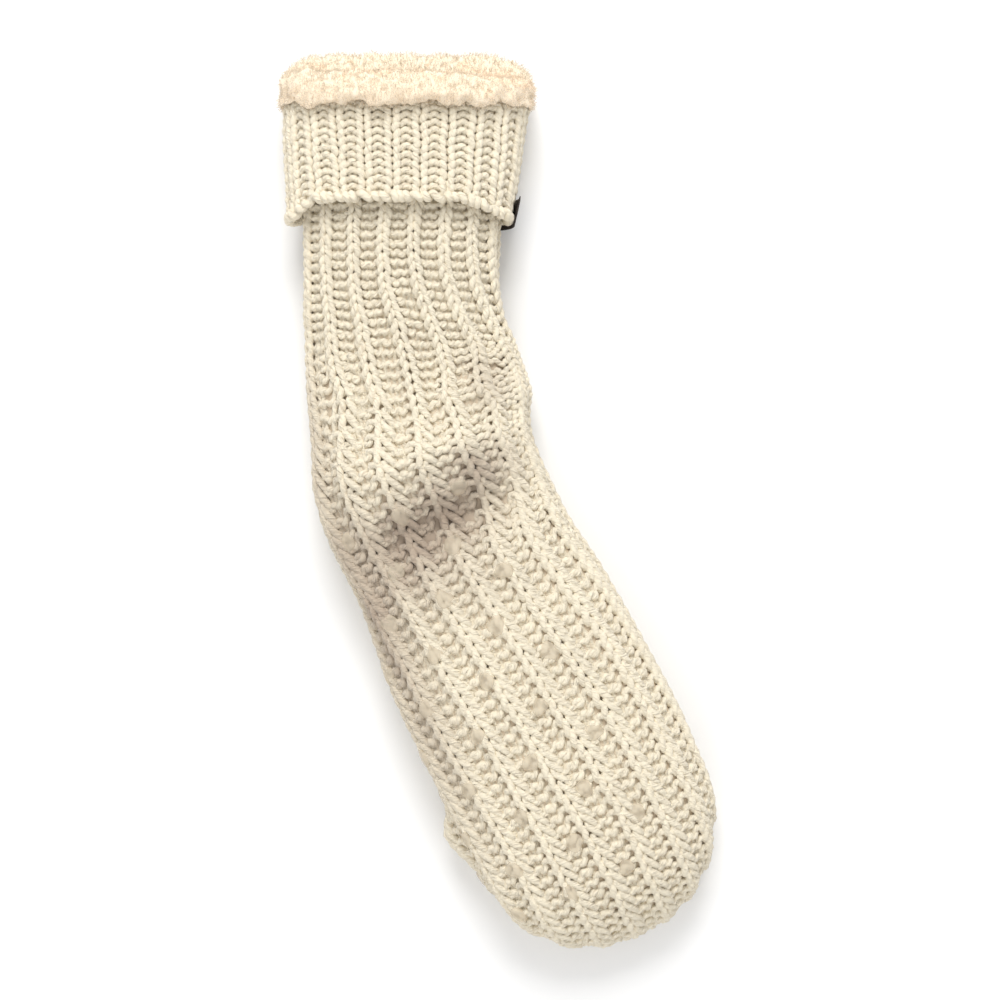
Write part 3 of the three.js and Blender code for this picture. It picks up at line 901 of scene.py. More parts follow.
# %% Courses of the foot and leg
def columns(rib_widths, rib_knit, ribs):
    """Widths, kinds and left edges of all columns round a course."""
    widths = np.tile(rib_widths, ribs) / ribs
    return widths, np.tile(rib_knit, ribs), np.concatenate([[0], np.cumsum(widths)[:-1]])


widths, knits, lefts = columns(RIB_WIDTHS, RIB_KNIT, RIBS)
lefts = lefts - RIB_WIDTHS[0] / 2 / RIBS
centres = lefts + widths / 2


def by_kind(knit, purl):
    return np.where(knits > 0, knit, purl)


def course(run):
    """Points of one course, how thick each is and how much painted shade it gets, and which
    stitches are there at the toe.
    """
    foot = footness(run)
    pitch = mix(*PITCH, foot)
    drift = drift_at(run)
    middles = spread(centres + drift, run)
    taut = by_kind(0.0, stretched(middles, run))
    head = by_kind(mix(*KNIT_HEAD, foot), mix(*PURL_HEAD, foot)) * (1 - taut)
    tall = by_kind(KNIT_TALL, mix(*PURL_TALL, foot)) * (1 - TAUT_HEIGHT * taut)
    across, along, depth = stitch_wave(knits, head, by_kind(mix(*KNIT_LEAN, foot), 0.0), tall)
    depth = depth * (1 - TAUT_DEPTH * taut)[:, None]
    own = lefts[:, None] + across * widths[:, None]
    share = spread(own + drift, run)
    nudge = seed.normal(0, JITTER, (len(knits), 2))
    share = share + (wander(share, run) + nudge[:, :1]) / around_at(run)
    part = np.clip(((own * RIBS) % 1.0 - SAG_FROM) / SAG_WIDE, 0, 1)
    hang = SAG * foot * (1 - np.cos(TAU * part)) / 2
    place = run + sway(share, run) + hang + along * pitch + nudge[:, 1:]
    under = is_below(middles)
    points, normals = lay(share.ravel(), place.ravel(), np.repeat(under, STEPS))
    swell = 1 + LEG_SWELL * (knits > 0)[:, None] * np.clip(depth, 0, 1)
    uneven = 1 + seed.normal(0, SLUB, len(knits))[:, None]
    thick = (mix(*YARN, foot) * swell * uneven).ravel()
    deep = np.where((knits > 0)[:, None] | (depth > 0), 1.0, PURL_DEEPER) * LOOP_DEPTH
    level = (rib_level(centres)[:, None] + rib_level(own)) / 2 * (1 - TAUT_RELIEF * taut)[:, None]
    level = level.ravel() - thick - LOOP_DEPTH + (deep * depth).ravel()
    points = points + normals * level[:, None]
    points[:, 2] = np.maximum(points[:, 2], thick)
    past = run - TOE_START
    there = np.ones(len(knits), bool)
    if past > 0:
        for side, extra in ((False, TOE_EXTRA), (True, -TOE_EXTRA)):
            mine = under == side
            there[mine] = past < toe_sides[side].end(middles[mine]) + extra * pitch
    shape = len(knits), STEPS
    return points.reshape(*shape, 3), thick.reshape(shape), soil(share, run), there


def knit_courses(runs):
    yarn = Yarn()
    for run in runs:
        points, thick, shade_amount, there = course(run)

        def add(stitches, closed):
            flat = points[stitches].reshape(-1, 3)
            yarn.add(flat, thick[stitches].ravel(), closed, shade_amount[stitches].ravel())

        if there.all():
            add(np.arange(len(there)), True)
            continue
        order = (np.arange(len(there)) + int(np.argmin(there))) % len(there)
        length = []
        for stitch in [*order, None]:
            if stitch is not None and there[stitch]:
                length.append(stitch)
            elif length:
                add(length, False)
                length = []
    return yarn


all_runs = [FIRST_RUN]
last_run = TOE_START + toe_sides[False].ends.max() + 2
while all_runs[-1] < last_run:
    all_runs.append(all_runs[-1] + mix(*PITCH, footness(all_runs[-1])))
print("courses of the foot and leg:", len(all_runs))
LEG_COURSES, INSTEP_COURSES = 24, 46  # the course that ends each piece of the mesh
knit_pieces = [
    threads(knit_courses(all_runs[first:last]), name, wool)
    for first, last, name in (
        (0, LEG_COURSES, "knit_leg"),
        (LEG_COURSES, INSTEP_COURSES, "knit_instep"),
        (INSTEP_COURSES, None, "knit_toe"),
    )
]

# %% [markdown]
# ## Knitting the cuff
# The cuff shows the other side of the fabric: wide knit columns of thick legs with one narrow
# purl column between them, from the hem up to the fold.

# %% Courses of the cuff
CUFF_WIDTHS = np.array([0.61, 0.39])  # knit and purl column, shares of a rib
CUFF_PITCH, CUFF_YARN, CUFF_FIRST = 3.8, 1.4, 4.6
CUFF_HEADS, CUFF_TALL = (0.165, 0.12), (KNIT_TALL, 1.2)  # of knit and purl stitches
CUFF_SWELL, CUFF_RELIEF = 0.32, 0.8
CUFF_CREST, CUFF_CHANNEL = 0.22, 0.4  # where the side of a rib begins and ends
CUFF_ROUND = 260.0  # length round the cuff
cuff_widths, cuff_knits, cuff_lefts = columns(CUFF_WIDTHS, [1, -1], CUFF_RIBS)


def cuff_course(height):
    is_knit = cuff_knits > 0
    head, tall = np.where(is_knit, *CUFF_HEADS), np.where(is_knit, *CUFF_TALL)
    across, along, depth = stitch_wave(cuff_knits, head, 0 * head, tall)
    nudge = seed.normal(0, JITTER, (len(cuff_knits), 2))
    share = cuff_lefts[:, None] + across * cuff_widths[:, None] + nudge[:, :1] / CUFF_ROUND
    place = height + along * CUFF_PITCH + nudge[:, 1:]
    points, normals = cuff.at(place.ravel(), share.ravel())
    off = np.abs(((share * CUFF_RIBS - CUFF_WIDTHS[0] / 2) + 0.5) % 1.0 - 0.5).ravel()
    thick = (CUFF_YARN * (1 + CUFF_SWELL * is_knit[:, None] * np.clip(depth, 0, 1))).ravel()
    sunk_by = CUFF_RELIEF * smoothstep(off, CUFF_CREST, CUFF_CHANNEL)
    level = -sunk_by - thick - LOOP_DEPTH * (1 - depth.ravel())
    points = points + normals * level[:, None]
    points[:, 2] = np.maximum(points[:, 2], thick)
    return points, thick


cuff_yarn = Yarn()
for height in np.arange(CUFF_FIRST, CUFF_HEIGHT + 7, CUFF_PITCH):
    cuff_yarn.add(*cuff_course(height), True)
knit_cuff = threads(cuff_yarn, "knit_cuff", wool)

# %% [markdown]
# ## The bound hem
# The first course of a knitted tube is cast on, and makes a thick rope along the edge. One strand
# wound round the edge gives that rope, with three turns for each rib of the cuff.

# %% The rope along the hem
HEM_WIND, HEM_YARN = 0.8, 1.75
HEM_INSET, HEM_UP, HEM_SQUASH = 0.6, 1.6, 1.2
HEM_TURNS, HEM_STEPS = 3 * CUFF_RIBS, 12
# its unevenness: how much, and times round the cuff
HEM_HURRY = [(0.3, 9), (0.2, 23)]
HEM_SWELL, HEM_SWELLS = 0.35, 15


def hem_rope():
    turns = np.arange(HEM_TURNS * HEM_STEPS) / HEM_STEPS
    share = turns / HEM_TURNS
    points, normals = cuff.at(np.full(len(share), HEM_UP), share)
    tangent = unit(np.roll(points, -1, 0) - np.roll(points, 1, 0))
    upward = unit(np.cross(tangent, normals))
    hurry = sum(much * np.sin(times_round * TAU * share) for much, times_round in HEM_HURRY)
    angle = TAU * (turns + hurry)
    swing = HEM_WIND * (1 + HEM_SWELL * np.sin(HEM_SWELLS * TAU * share + 1.0))
    out, up = swing * np.cos(angle), HEM_SQUASH * swing * np.sin(angle)
    ring = points - normals * (HEM_WIND + HEM_INSET) + normals * out[:, None] + upward * up[:, None]
    ring[:, 2] = np.maximum(ring[:, 2], HEM_YARN)
    return ring


hem_yarn = Yarn()
rope = hem_rope()
hem_yarn.add(rope, np.full(len(rope), HEM_YARN), True)
knit_hem = threads(hem_yarn, "knit_hem", wool)

# %% [markdown]
# ## The fabric behind the stitches
# Between the loops one looks through to the back of the yarn and the backing of the fleece. A
# thin closed sack just under the loops stands for it, in the foot and leg and again in the cuff.
# Its colours are darker than that cloth: painted shade of the holes between the loops.


# %% A closed skin over rings of points
def closed_skin(name, rings, material, looped=False):
    """Rings of equal count, or a pole of one point at either end. A looped row closes on itself."""
    rings = [np.asarray(ring, float) for ring in rings]
    starts = np.cumsum([0] + [len(ring) for ring in rings])
    faces = []
    pairs = list(zip(range(len(rings)), range(1, len(rings))))
    if looped:
        pairs.append((len(rings) - 1, 0))
    for a, b in pairs:
        n, m = len(rings[a]), len(rings[b])
        j = np.arange(max(n, m))
        k = (j + 1) % max(n, m)
        if n == 1:
            corners = [np.full(m, starts[a]), starts[b] + k, starts[b] + j]
        elif m == 1:
            corners = [starts[a] + j, starts[a] + k, np.full(n, starts[b])]
        else:
            corners = [starts[a] + j, starts[a] + k, starts[b] + k, starts[b] + j]
        faces += np.stack(corners, -1).tolist()
    points = (np.concatenate(rings) + SHIFT) * MM
    if skin_volume(points, faces) < 0:
        faces = [face[::-1] for face in faces]
    mesh = bpy.data.meshes.new(name)
    mesh.from_pydata(points.tolist(), [], faces)
    mesh.polygons.foreach_set("use_smooth", np.ones(len(faces), bool))
    mesh.materials.append(material)
    mesh.update()
    print(f"{name}: {sum(len(f) - 2 for f in faces)} triangles")
    return in_scene(name, mesh)


def skin_volume(points, faces):
    """Six times the volume inside the faces. It is below zero where they face inwards."""
    total = 0.0
    for corners in (3, 4):
        group = np.array([f for f in faces if len(f) == corners], int).reshape(-1, corners)
        for k in range(1, corners - 1):
            a, b, c = (points[group[:, corner]] for corner in (0, k, k + 1))
            total += np.einsum("ij,ij->i", a, np.cross(b, c)).sum()
    return total


# %% Rings under the crest of the fabric
def crest(share, run):
    """Points and normals of the crest level, every section of the toe taken straight across."""
    points, normals = body.at(np.clip(run, -LEG_RUN, TOE_START), share)
    turn = np.arcsin(np.clip((run - TOE_START) / TOE_ROUND, 0, NEARLY))
    over, over_normals = toe.at(turn, share)
    past = (run > TOE_START)[..., None]
    return np.where(past, over, points), np.where(past, over_normals, normals)


GROUND_ROUND = 108
GROUND_DEPTH, GROUND_WALL = 3.8, 0.8
GROUND_FLOOR = 0.4  # it stays this far above the floor
CUFF_DEPTH, CUFF_BACK = 3.3, 4.2
TIP_BEHIND = 4.0  # between the tips of the sack's outside and inside
SACK_STEP, BAND_STEP = 5.0, 3.0  # from ring to ring
SACK_TOE = np.linspace(0.12, PI / 2 * 0.97, 12)  # turns over the toe
ground_share = np.arange(GROUND_ROUND) / GROUND_ROUND


def sunk(surface, depth):
    points, normals = surface
    points = points - normals * depth
    points[:, 2] = np.maximum(points[:, 2], GROUND_FLOOR)
    return points


def under_crest(run, depth):
    return sunk(crest(ground_share, np.full(GROUND_ROUND, float(run))), depth)


def under_cuff(height, depth):
    return sunk(cuff.at(np.full(GROUND_ROUND, float(height)), ground_share), depth)


def tip(run):
    return [[*spine_at(np.array(run))[0], TOE_NOSE]]


# %% Cloth of the backing, painted darker as shade
# the backing is painted darker than the cream yarn and fleece it stands for: painted shade of the
# holes between the loops
BACKING_SHADED_DARK, BACKING_SHADED_LIGHT = (0.56, 0.46, 0.34), (0.70, 0.60, 0.46)
# painted shade of the folds and edges, on the backing
BACKING_PAINTED_SHADE = (0.33, 0.26, 0.20)


def backing_material():
    material, tree = new_material("backing_cloth_painted_shade")
    fine, _ = fibres(tree, 700.0, 60.0)
    # painted shade of the folds and edges
    shade_amount = limited(tree, attribute(tree, "soil"), 0.9)
    colour = shade_mix(tree, fine, BACKING_SHADED_DARK, BACKING_SHADED_LIGHT)
    colour = shade_mix(tree, shade_amount, colour, BACKING_PAINTED_SHADE)
    return dress_skin(material, colour, (fine, 0.6, 0.0004), {"Roughness": 1.0})


backing = backing_material()
over_toe = TOE_START + TOE_ROUND * np.sin(SACK_TOE)
along_sock = np.concatenate([np.arange(-LEG_RUN + 4, TOE_START, SACK_STEP), over_toe])
sack = [
    tip(FOOT_RUN - GROUND_DEPTH - TIP_BEHIND),
    *(under_crest(run, GROUND_DEPTH + GROUND_WALL) for run in along_sock[-2::-1]),
    *(under_crest(run, GROUND_DEPTH) for run in along_sock),
    tip(FOOT_RUN - GROUND_DEPTH),
]
sock_ground = closed_skin("sock_ground", sack, backing)
ground_runs = np.concatenate([along_sock[-2::-1], along_sock])
# the painted shade of the folds, kept on the sack's points
ground_painted_shade = soil(ground_share[None, :], ground_runs[:, None]).ravel()
keep_on_points(sock_ground.data, "soil", np.concatenate([[0.0], ground_painted_shade, [0.0]]))
cuff_rise = np.arange(2.0, CUFF_HEIGHT + 5, BAND_STEP)
band = [under_cuff(h, CUFF_DEPTH) for h in cuff_rise]
band += [under_cuff(h, CUFF_BACK) for h in cuff_rise[::-1]]
cuff_ground = closed_skin("cuff_ground", band, backing, looped=True)

# %% [markdown]
# ## The fleece
# A plush lining fills the mouth and swells over the fold as a soft roll, low on the near side and
# high on the far side. A lumpy closed ring is its body. Short curled fibres stand on it: one is
# made, and Geometry Nodes plant it thousands of times, each turned and scaled a little differently.

# %% The body of the roll
FLEECE_THICK, FLEECE_REACH = 6.5, 45.0
FLEECE_GAP, SLEEVE_GAP = 4.3, 0.6  # wall of the knit, and space behind the sleeve
FLEECE_FLOOR, LUMP_FLOOR = 0.3, 0.5
NEAR_RISE, FAR_RISE = 10.0, 17.8
NEAR_DIP = 3.0  # how much lower the near roll lies on the instep side
TUFT = 0.35  # unevenness of its lower edge
LUMP, LUMP_SIZE = 1.9, 4.2
FINER, LESS = 2.3, 0.5  # of the second noise
# outward (0 inside, 1 at the cuff's outer edge) and height (share of the rise)
ROLL_ROWS = [
    (0.96, -0.05), (1.08, -0.42), (1.22, -0.32), (1.25, 0.05), (1.14, 0.50), (0.90, 0.88),
    (0.60, 1.0), (0.25, 0.86), (0.0, 0.45),
]
FLEECE_ROUND, ROLL_STEPS, SLEEVE_STEPS = 252, 26, 14
fleece_share = np.arange(FLEECE_ROUND) / FLEECE_ROUND


def at_shares(ring):
    """A ring of even points, read at the fleece's own shares."""
    return [np.interp(fleece_share, round_share, values) for values in ring.T]


def inset_ring(run, inset):
    back, front, low, high = section_at(np.array([float(run)]))
    flat, _ = outline(back - inset, front - inset, low + inset, high - inset)
    across, up = at_shares(flat[0])
    spine, side = spine_at(np.array(float(run)))
    level = spine + side * across[:, None]
    return np.column_stack([level, np.maximum(up, FLEECE_FLOOR)])


def fleece_ring(outward, height):
    edge = np.stack(at_shares(fold_edge), -1)
    inner = inset_ring(-LEG_RUN, FLEECE_GAP + FLEECE_THICK)
    ring = mix(inner, edge, outward)
    ring[:, 0] = mix(inner[:, 0], edge[:, 0], min(outward, 1.01))
    down = 1 - 2 * np.clip(ring[:, 2] / CUFF_THICK, 0, 1)
    near = NEAR_RISE - NEAR_DIP * smoothstep(ring[:, 0], 0, CUFF_WIDTH / 2)
    rise = mix(near, FAR_RISE, smoothstep(down, 0.05, 0.8))
    tuft = 1 + TUFT * np.sin(13 * TAU * fleece_share + 1.0) * np.sin(5 * TAU * fleece_share)
    lower = rise * np.maximum(height, 0) + NEAR_RISE * tuft * np.minimum(height, 0)
    ring[:, 1] = edge[:, 1] + FOLD_RISE + lower
    return ring


def lumpy(rings):
    """Rings pushed in and out by soft noise, never below the floor."""
    grid = np.array(rings)
    along = np.gradient(grid, axis=0)
    across = (np.roll(grid, -1, 1) - np.roll(grid, 1, 1)) / 2
    places = grid.reshape(-1, 3) / LUMP_SIZE
    push = [noise.noise(Vector(p)) + LESS * noise.noise(Vector(p * FINER)) for p in places]
    push = LUMP * np.array(push).reshape(grid.shape[:2])
    grid = grid + unit(np.cross(along, across)) * push[..., None]
    grid[..., 2] = np.maximum(grid[..., 2], LUMP_FLOOR)
    return list(grid)


# %% Fleece, with painted shade along the parting between the near roll and the far side
FLEECE_DARK, FLEECE_LIGHT = (0.85, 0.70, 0.53), (0.91, 0.82, 0.66)
# colours of painted shade: in the parting, and over the near roll below it
PARTING_PAINTED_SHADE, NEAR_ROLL_PAINTED_SHADE = (0.94, 0.68, 0.46), (0.84, 0.70, 0.53)
# where the painted shade of the parting lies: its height in the middle, its slope, its width and
# how far it wavers in all
PARTING, PARTING_SLOPE, PARTING_WIDE, PARTING_WAVER = 176.5, 0.08, 3.6, 50.0
PATCH_FROM, PATCH_GAIN, PATCH_MOST = 0.40, 4.0, 0.5  # it shows in patches
# painted shade on the near roll below the parting: how fast and how far it grows
NEAR_SHADE_GAIN, NEAR_SHADE_MOST = -0.22, 0.6  # the near roll is a little deeper in tone


def fleece_material(name, alpha):
    material, tree = new_material(name)
    fine, clouds = fibres(tree, 1100.0, 40.0)
    waver, patch = fibres(tree, 90.0, 26.0)
    tone = limited(tree, plus(tree, times(tree, fine, 0.3), clouds))
    place = add_node(tree, "ShaderNodeSeparateXYZ", {0: object_place(tree)}).outputs
    # painted shade in the crease of the parting: strongest on its line, and in patches
    line = plus(tree, place["Y"], times(tree, place["X"], PARTING_SLOPE))
    line = plus(tree, line, times(tree, waver, PARTING_WAVER * MM))
    line = shade_math(tree, "SUBTRACT", line, (PARTING + PARTING_WAVER / 2) * MM)
    off = shade_math(tree, "DIVIDE", line, PARTING_WIDE * MM)
    near = shade_math(tree, "POWER", math.e, times(tree, times(tree, off, off), -1.0))
    patch = times(tree, shade_math(tree, "SUBTRACT", patch, PATCH_FROM), PATCH_GAIN)
    near = times(tree, near, limited(tree, patch, PATCH_MOST))
    # painted shade over the near roll, below the parting
    below = times(tree, limited(tree, times(tree, off, NEAR_SHADE_GAIN)), NEAR_SHADE_MOST)
    colour = shade_mix(tree, tone, FLEECE_DARK, FLEECE_LIGHT)
    colour = shade_mix(tree, below, shade_mix(tree, near, colour, PARTING_PAINTED_SHADE), NEAR_ROLL_PAINTED_SHADE)
    values = {"Roughness": 1.0, "Alpha": alpha, "Sheen Weight": 0.15, "Sheen Roughness": 0.6}
    return dress_skin(material, colour, (fine, 0.35, 0.0005), values)


fleece = fleece_material("fleece_ground", 1.0)
fleece_fibre = fleece_material("fleece_pile", 0.26)
row_steps, roll_steps = np.linspace(0, 1, len(ROLL_ROWS)), np.linspace(0, 1, ROLL_STEPS)
outwards, heights = (curve_through(row_steps, column)(roll_steps) for column in zip(*ROLL_ROWS))
roll = [fleece_ring(outward, height) for outward, height in zip(outwards, heights)]
sleeve_runs = np.linspace(-(LEG_RUN - 4), -(LEG_RUN - FLEECE_REACH), SLEEVE_STEPS)
sleeve_in = [inset_ring(run, FLEECE_GAP + FLEECE_THICK) for run in sleeve_runs]
sleeve_out = [inset_ring(run, FLEECE_GAP + SLEEVE_GAP) for run in sleeve_runs[::-1]]
fleece_rings = lumpy(roll + sleeve_in) + sleeve_out
fleece_roll = closed_skin("fleece_roll", fleece_rings, fleece, looped=True)

# %% A tree that plants curled fibres
PILE_KINDS = {
    "Density": "Float", "Length": "Float", "Curl": "Float", "Fibre Radius": "Float",
    "Tilt": "Float", "Seed": "Int",
}
PILE_SMALLEST, PILE_LARGEST, SIZE_SEED = 0.65, 1.35, 11
FIBRE_TURNS = 0.7
ABOVE_FLOOR = 0.00003
pile_tree, pile_ids = new_tree("plant_pile", PILE_KINDS)


def build_pile_tree(tree):
    source = add_node(tree, "NodeGroupInput").outputs
    links = {
        "Resolution": 4,
        "Rotations": FIBRE_TURNS,
        "Start Radius": source["Curl"],
        "End Radius": source["Fibre Radius"],
        "Height": source["Length"],
    }
    spiral = add_node(tree, "GeometryNodeCurveSpiral", links)
    links = {"Resolution": 3, "Radius": source["Fibre Radius"]}
    ring = add_node(tree, "GeometryNodeCurvePrimitiveCircle", links)
    links = {"Curve": spiral, "Profile Curve": ring, "Fill Caps": True}
    fibre = add_node(tree, "GeometryNodeCurveToMesh", links)
    smooth = add_node(tree, "GeometryNodeSetShadeSmooth", {"Geometry": fibre})
    links = {"Mesh": source["Geometry"], "Density": source["Density"], "Seed": source["Seed"]}
    points = add_node(tree, "GeometryNodeDistributePointsOnFaces", links).outputs
    low = add_node(tree, "ShaderNodeMath", {0: source["Tilt"], 1: -1.0}, operation="MULTIPLY")
    lowest = add_node(tree, "ShaderNodeCombineXYZ", {"X": low, "Y": low, "Z": -PI})
    links = {"X": source["Tilt"], "Y": source["Tilt"], "Z": PI}
    highest = add_node(tree, "ShaderNodeCombineXYZ", links)
    links = {0: lowest, 1: highest, "Seed": source["Seed"]}
    turn = add_node(tree, "FunctionNodeRandomValue", links, data_type="FLOAT_VECTOR")
    euler = add_node(tree, "FunctionNodeEulerToRotation", {0: turn.outputs[0]})
    links = {"Rotation": points["Rotation"], "Rotate By": euler}
    rotate = add_node(tree, "FunctionNodeRotateRotation", links, rotation_space="LOCAL")
    links = {2: PILE_SMALLEST, 3: PILE_LARGEST, "Seed": SIZE_SEED}
    size = add_node(tree, "FunctionNodeRandomValue", links, data_type="FLOAT")
    links = {
        "Points": points["Points"],
        "Instance": smooth,
        "Rotation": rotate,
        "Scale": size.outputs[1],
    }
    planted = add_node(tree, "GeometryNodeInstanceOnPoints", links)
    real = add_node(tree, "GeometryNodeRealizeInstances", {"Geometry": planted})
    place = add_node(tree, "GeometryNodeInputPosition")
    parts = add_node(tree, "ShaderNodeSeparateXYZ", {0: place}).outputs
    over = add_node(tree, "ShaderNodeMath", {0: parts["Z"], 1: ABOVE_FLOOR}, operation="MAXIMUM")
    links = {"X": parts["X"], "Y": parts["Y"], "Z": over}
    rested = add_node(tree, "ShaderNodeCombineXYZ", links)
    links = {"Geometry": real, "Position": rested}
    dress_tree(tree, add_node(tree, "GeometryNodeSetPosition", links), source["Material"])


build_pile_tree(pile_tree)


def part_of(piece, name, keep):
    """A mesh of the faces of a piece whose middles pass a test."""
    mesh = piece.data
    corners = [tuple(p.vertices) for p in mesh.polygons if keep(p.center)]
    used = sorted({v for face in corners for v in face})
    index = {v: i for i, v in enumerate(used)}
    faces = [[index[v] for v in face] for face in corners]
    result = bpy.data.meshes.new(name)
    result.from_pydata([mesh.vertices[v].co for v in used], [], faces)
    return result


PILE = {
    "Density": 1.02e6, "Length": 0.0017, "Curl": 0.0006, "Fibre Radius": 0.00016, "Tilt": 0.7,
    "Seed": 5, "Material": fleece_fibre,
}
pile_values = {pile_ids[label]: value for label, value in PILE.items()}
PILE_FROM = (LEG_RUN - 12 + SHIFT[1]) * MM  # pile that no one can see, deep inside, is left out
PILE_HALF = CUFF_THICK / 2 * MM
upper_half = part_of(fleece_roll, "upper_half", lambda c: c.y > PILE_FROM and c.z > PILE_HALF)
floor_half = part_of(fleece_roll, "floor_half", lambda c: c.y > PILE_FROM and c.z <= PILE_HALF)
pile_near = grown(upper_half, "fleece_pile_near", pile_tree, pile_values)
pile_far = grown(floor_half, "fleece_pile_far", pile_tree, pile_values)

# %% [markdown]
# ## The silicone dots
# Drops of clear silicone are printed on the sole side in staggered rows. Each is a low dome that
# follows the yarn under it, with an edge that isn't quite round.

# %% Dots in staggered rows
DOT_WIDTH, DOT_PITCH, DOT_SIDES = 8.0, 38.5, 22
DOT_SINK = 2.2  # how deep a drop has run into the yarn
DOT_LOBES = ((2, 0.10), (3, 0.08))  # how its edge swells: times round, and how much
DOT_SMALLEST, DOT_LARGEST = 0.88, 1.04
# from the middle of the underside round the edge to the crown: how far out and how high
DOT_RINGS = [
    (0.5, -DOT_SINK), (0.96, -DOT_SINK + 0.3), (1.0, -0.8), (0.97, -0.4), (0.85, -0.05),
    (0.6, 0.2), (0.32, 0.32),
]
DOT_CROWN = 0.35
DOT_FLOOR = 0.00002
DOT_DARK, DOT_LIGHT = (0.70, 0.60, 0.46), (0.80, 0.71, 0.55)


def rib_share(share, run):
    """The share that even ribs would have, from the place where one really lies."""
    even = share
    for _ in range(4):
        there = spread(even, run)
        even = even + share - there - wander(there, run) / around_at(run)
    return even - drift_at(run)


def silicone_material():
    material, tree = new_material("silicone_dots")
    fine, clouds = fibres(tree, 500.0, 120.0)
    colour = shade_mix(tree, clouds, DOT_DARK, DOT_LIGHT)
    values = {"Roughness": 0.5, "Alpha": 0.38, "IOR": 1.41}
    return dress_skin(material, colour, (fine, 0.3, 0.0006), values)


silicone = silicone_material()


def dot_places(first_channel, last_channel):
    places = []
    for channel in range(first_channel, last_channel):
        start = DOT_PITCH + (DOT_PITCH / 2 if channel % 2 else 0)
        for run in np.arange(start, FOOT_RUN - TOE_ROUND / 2, DOT_PITCH):
            share = ((RIBS - channel) % RIBS + 0.5) / RIBS + RIB_DRIFT / RIBS * run / FOOT_RUN
            places.append((share, run))
    return places


def dot_rings(share, run):
    """Rings of one dome, from the middle of its underside round the edge to its crown."""
    around = around_at(run)
    angle = np.arange(DOT_SIDES) / DOT_SIDES * TAU
    wobble = 1 + sum(
        much * np.sin(times_round * angle + seed.uniform(0, 6)) for times_round, much in DOT_LOBES
    )
    size = DOT_WIDTH / 2 * seed.uniform(DOT_SMALLEST, DOT_LARGEST)

    def ring(out, level, angle=angle, wobble=wobble):
        x, y = size * out * wobble * np.cos(angle), size * out * wobble * np.sin(angle)
        points, normals = crest(share + x / around, run + y)
        sunk_to = rib_level(rib_share(share + x / around, run + y))
        return points + normals * (level + sunk_to)[:, None]

    def pole(level):
        return ring(0.0, level, np.zeros(1), np.ones(1))

    return [pole(-DOT_SINK), *(ring(*row) for row in DOT_RINGS), pole(DOT_CROWN)]


def dot_piece(name, places):
    parts = [
        closed_skin(f"{name}_{k}", dot_rings(*place), silicone) for k, place in enumerate(places)
    ]
    for part in parts:
        co = np.array([v.co for v in part.data.vertices])
        co[:, 2] = np.maximum(co[:, 2], DOT_FLOOR)
        part.data.vertices.foreach_set("co", co.ravel())
    with bpy.context.temp_override(active_object=parts[0], selected_editable_objects=parts):
        bpy.ops.object.join()
    parts[0].name = name
    return parts[0]


upper_places, under_places = dot_places(0, 5), dot_places(5, 10)
grip_dots = dot_piece("grip_dots", upper_places)
grip_dots_under = dot_piece("grip_dots_under", under_places)
print("dots above and below:", len(upper_places), len(under_places))

# %% [markdown]
# ## The side tab
# A short piece of dark woven ribbon is folded over the edge of the cuff on the instep side. It is
# left bare. Its weave is fine, so it is made in the material, and the fold is in the mesh.

# %% The folded ribbon
TAB_HEIGHT, TAB_WIDTH, TAB_THICK, TAB_OVERHANG = 11.5, 22.0, 0.9, 1.0
TAB_PLACE = 0.24
TAB_SIDE_ROUND, TAB_END_ROUND = 0.8, 0.35
TAB_LOOP, TAB_STEPS = 20, 17
HEM_BEAD, GAP = 0.6, 0.3
WEAVE = 900.0
TAB_DARK, TAB_LIGHT = (0.012, 0.007, 0.006), (0.045, 0.028, 0.022)


def ribbon_material():
    material, tree = new_material("woven_ribbon")
    links = {"Vector": object_place(tree), "Scale": WEAVE}
    waves = (
        add_node(tree, "ShaderNodeTexWave", links, wave_type="BANDS", bands_direction=way)
        for way in "YZ"
    )
    weave = times(tree, *(wave_.outputs["Fac"] for wave_ in waves))
    colour = shade_mix(tree, weave, TAB_DARK, TAB_LIGHT)
    return dress_skin(material, colour, (weave, 0.5, 0.0002), {"Roughness": 0.6})


def ribbon_profile(place):
    """One loop across the ribbon: up its back, over the top and down its face to the fold."""
    half, half_height = TAB_THICK / 2, (TAB_HEIGHT + TAB_OVERHANG) / 2
    loop = []
    for turn in np.linspace(0, TAU, TAB_LOOP + 1)[:-1]:
        side, end = math.cos(turn), math.sin(turn)
        out = half + half * math.copysign(abs(side) ** TAB_SIDE_ROUND, side)
        up = half_height * math.copysign(abs(end) ** TAB_END_ROUND, end)
        share = 1 + (TAB_OVERHANG - half_height + up) / CUFF_HEIGHT
        flat, marks = cuff_outline(np.array([min(share, 1.0)]), -HEM_BEAD - GAP - out)
        at = (TAB_PLACE + place * TAB_WIDTH / marks[0, 3]) % 1.0
        x, z = (np.interp(at, round_share, values) for values in flat[0].T)
        loop.append([x, LEG_RUN - share * CUFF_HEIGHT, z])
    return np.array(loop)


ribbon_rings = [ribbon_profile(place) for place in np.linspace(0, 1, TAB_STEPS)]
ribbon_ends = [ribbon_rings[k].mean(0)[None] for k in (0, -1)]
side_ribbon = closed_skin(
    "side_ribbon", [ribbon_ends[0], *ribbon_rings, ribbon_ends[1]], ribbon_material()
)

# %% [markdown]
# ## The camera, the floor and the light
# The photograph looks straight down at a sock that lies flat. The camera does the same, with the
# leg at the top of the picture. A pale floor and a large soft lamp give its even light.

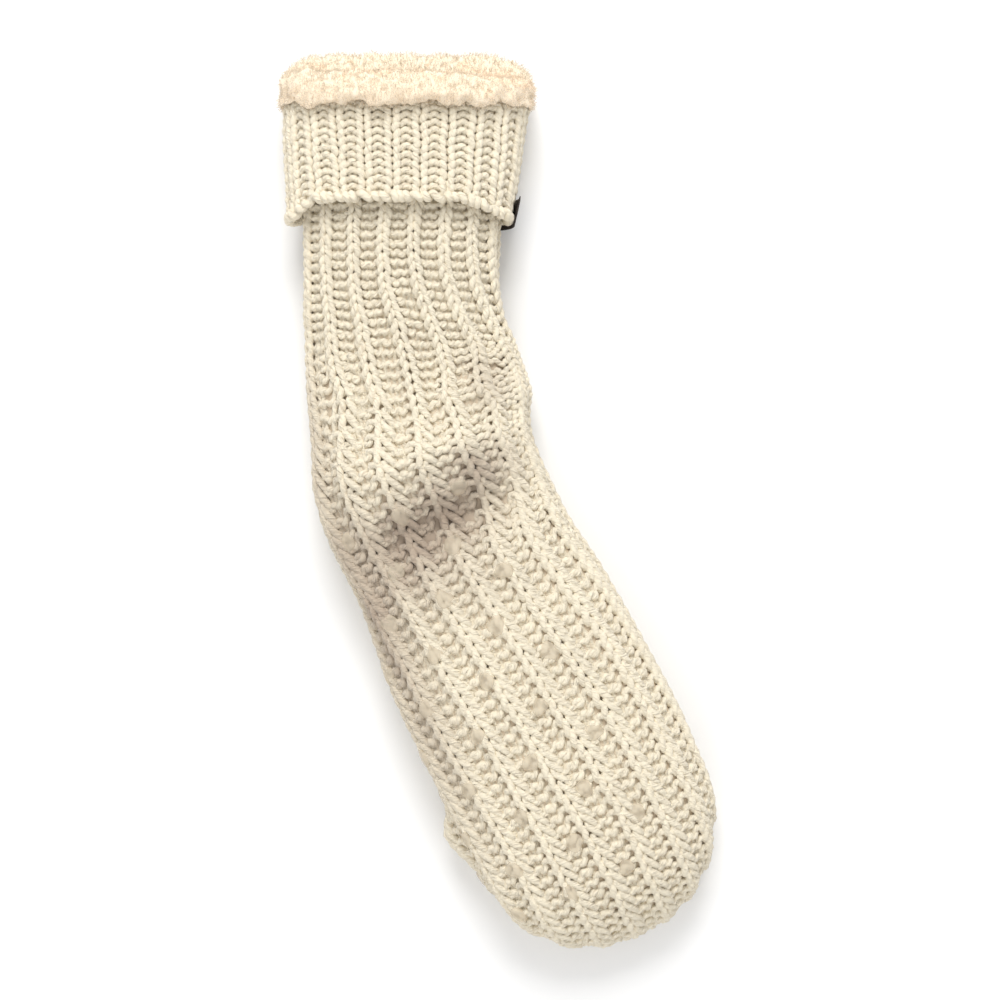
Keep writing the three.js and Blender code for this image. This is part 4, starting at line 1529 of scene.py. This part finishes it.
# %% Camera, floor and light
FRAME_HALF, FRAME_LEVEL = 0.213, 0.02  # half of what the picture shows, at this height
LENS, SENSOR = 85.0, 36.0
FLOOR_HALF = 6.0
FLOOR_GREYS = (0.90,) * 3, (0.93,) * 3
camera_data = bpy.data.cameras.new("camera")
camera_data.lens = LENS
camera_data.sensor_width = SENSOR
camera = in_scene("camera", camera_data)
camera.location = (0.0, 0.0, FRAME_HALF * 2 * LENS / SENSOR + FRAME_LEVEL)
bpy.context.scene.camera = camera


def floor_material():
    material, tree = new_material("pale_floor")
    _, clouds = fibres(tree, 300.0, 3.0)
    colour = shade_mix(tree, clouds, *FLOOR_GREYS)
    return dress_skin(material, colour, None, {"Roughness": 0.9})


floor_mesh = bpy.data.meshes.new("floor")
corners = [(x * FLOOR_HALF, y * FLOOR_HALF, 0) for x, y in ((-1, -1), (1, -1), (1, 1), (-1, 1))]
floor_mesh.from_pydata(corners, [], [(0, 1, 2, 3)])
floor_mesh.materials.append(floor_material())
floor = in_scene("floor", floor_mesh)


def soft_lamp(name, place, size, power):
    data = bpy.data.lights.new(name, "AREA")
    data.size = size
    data.energy = power
    lamp = in_scene(name, data)
    lamp.location = place
    lamp.rotation_euler = (-lamp.location).to_track_quat("-Z", "Y").to_euler()


soft_lamp("key_lamp", (-0.05, 1.4, 1.3), 0.9, 27)
soft_lamp("fill_lamp", (-0.5, -1.4, 1.5), 1.6, 11)
world = bpy.data.worlds.new("studio")
world.use_nodes = True
world.node_tree.nodes["Background"].inputs["Color"].default_value = (1, 1, 1, 1)
world.node_tree.nodes["Background"].inputs["Strength"].default_value = 0.71
bpy.context.scene.world = world
bpy.context.scene.view_settings.view_transform = "Standard"

# %% Every piece rides on the one body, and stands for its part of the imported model
dot_nodes = [f"grip_dot_{k + 1:02d}" for k in range(len(upper_places))]
STANDS_FOR = [
    (knit_pieces + [knit_cuff, knit_hem, sock_ground, cuff_ground], ["knit_sock"], "knit"),
    ([fleece_roll, pile_near, pile_far], ["fleece_lining"], "fleece"),
    ([grip_dots, grip_dots_under], dot_nodes, "silicone"),
    ([side_ribbon], ["side_tab"], "tab"),
]
for pieces, nodes, slot in STANDS_FOR:
    for piece in pieces:
        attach(piece, "root")
        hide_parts(*nodes)
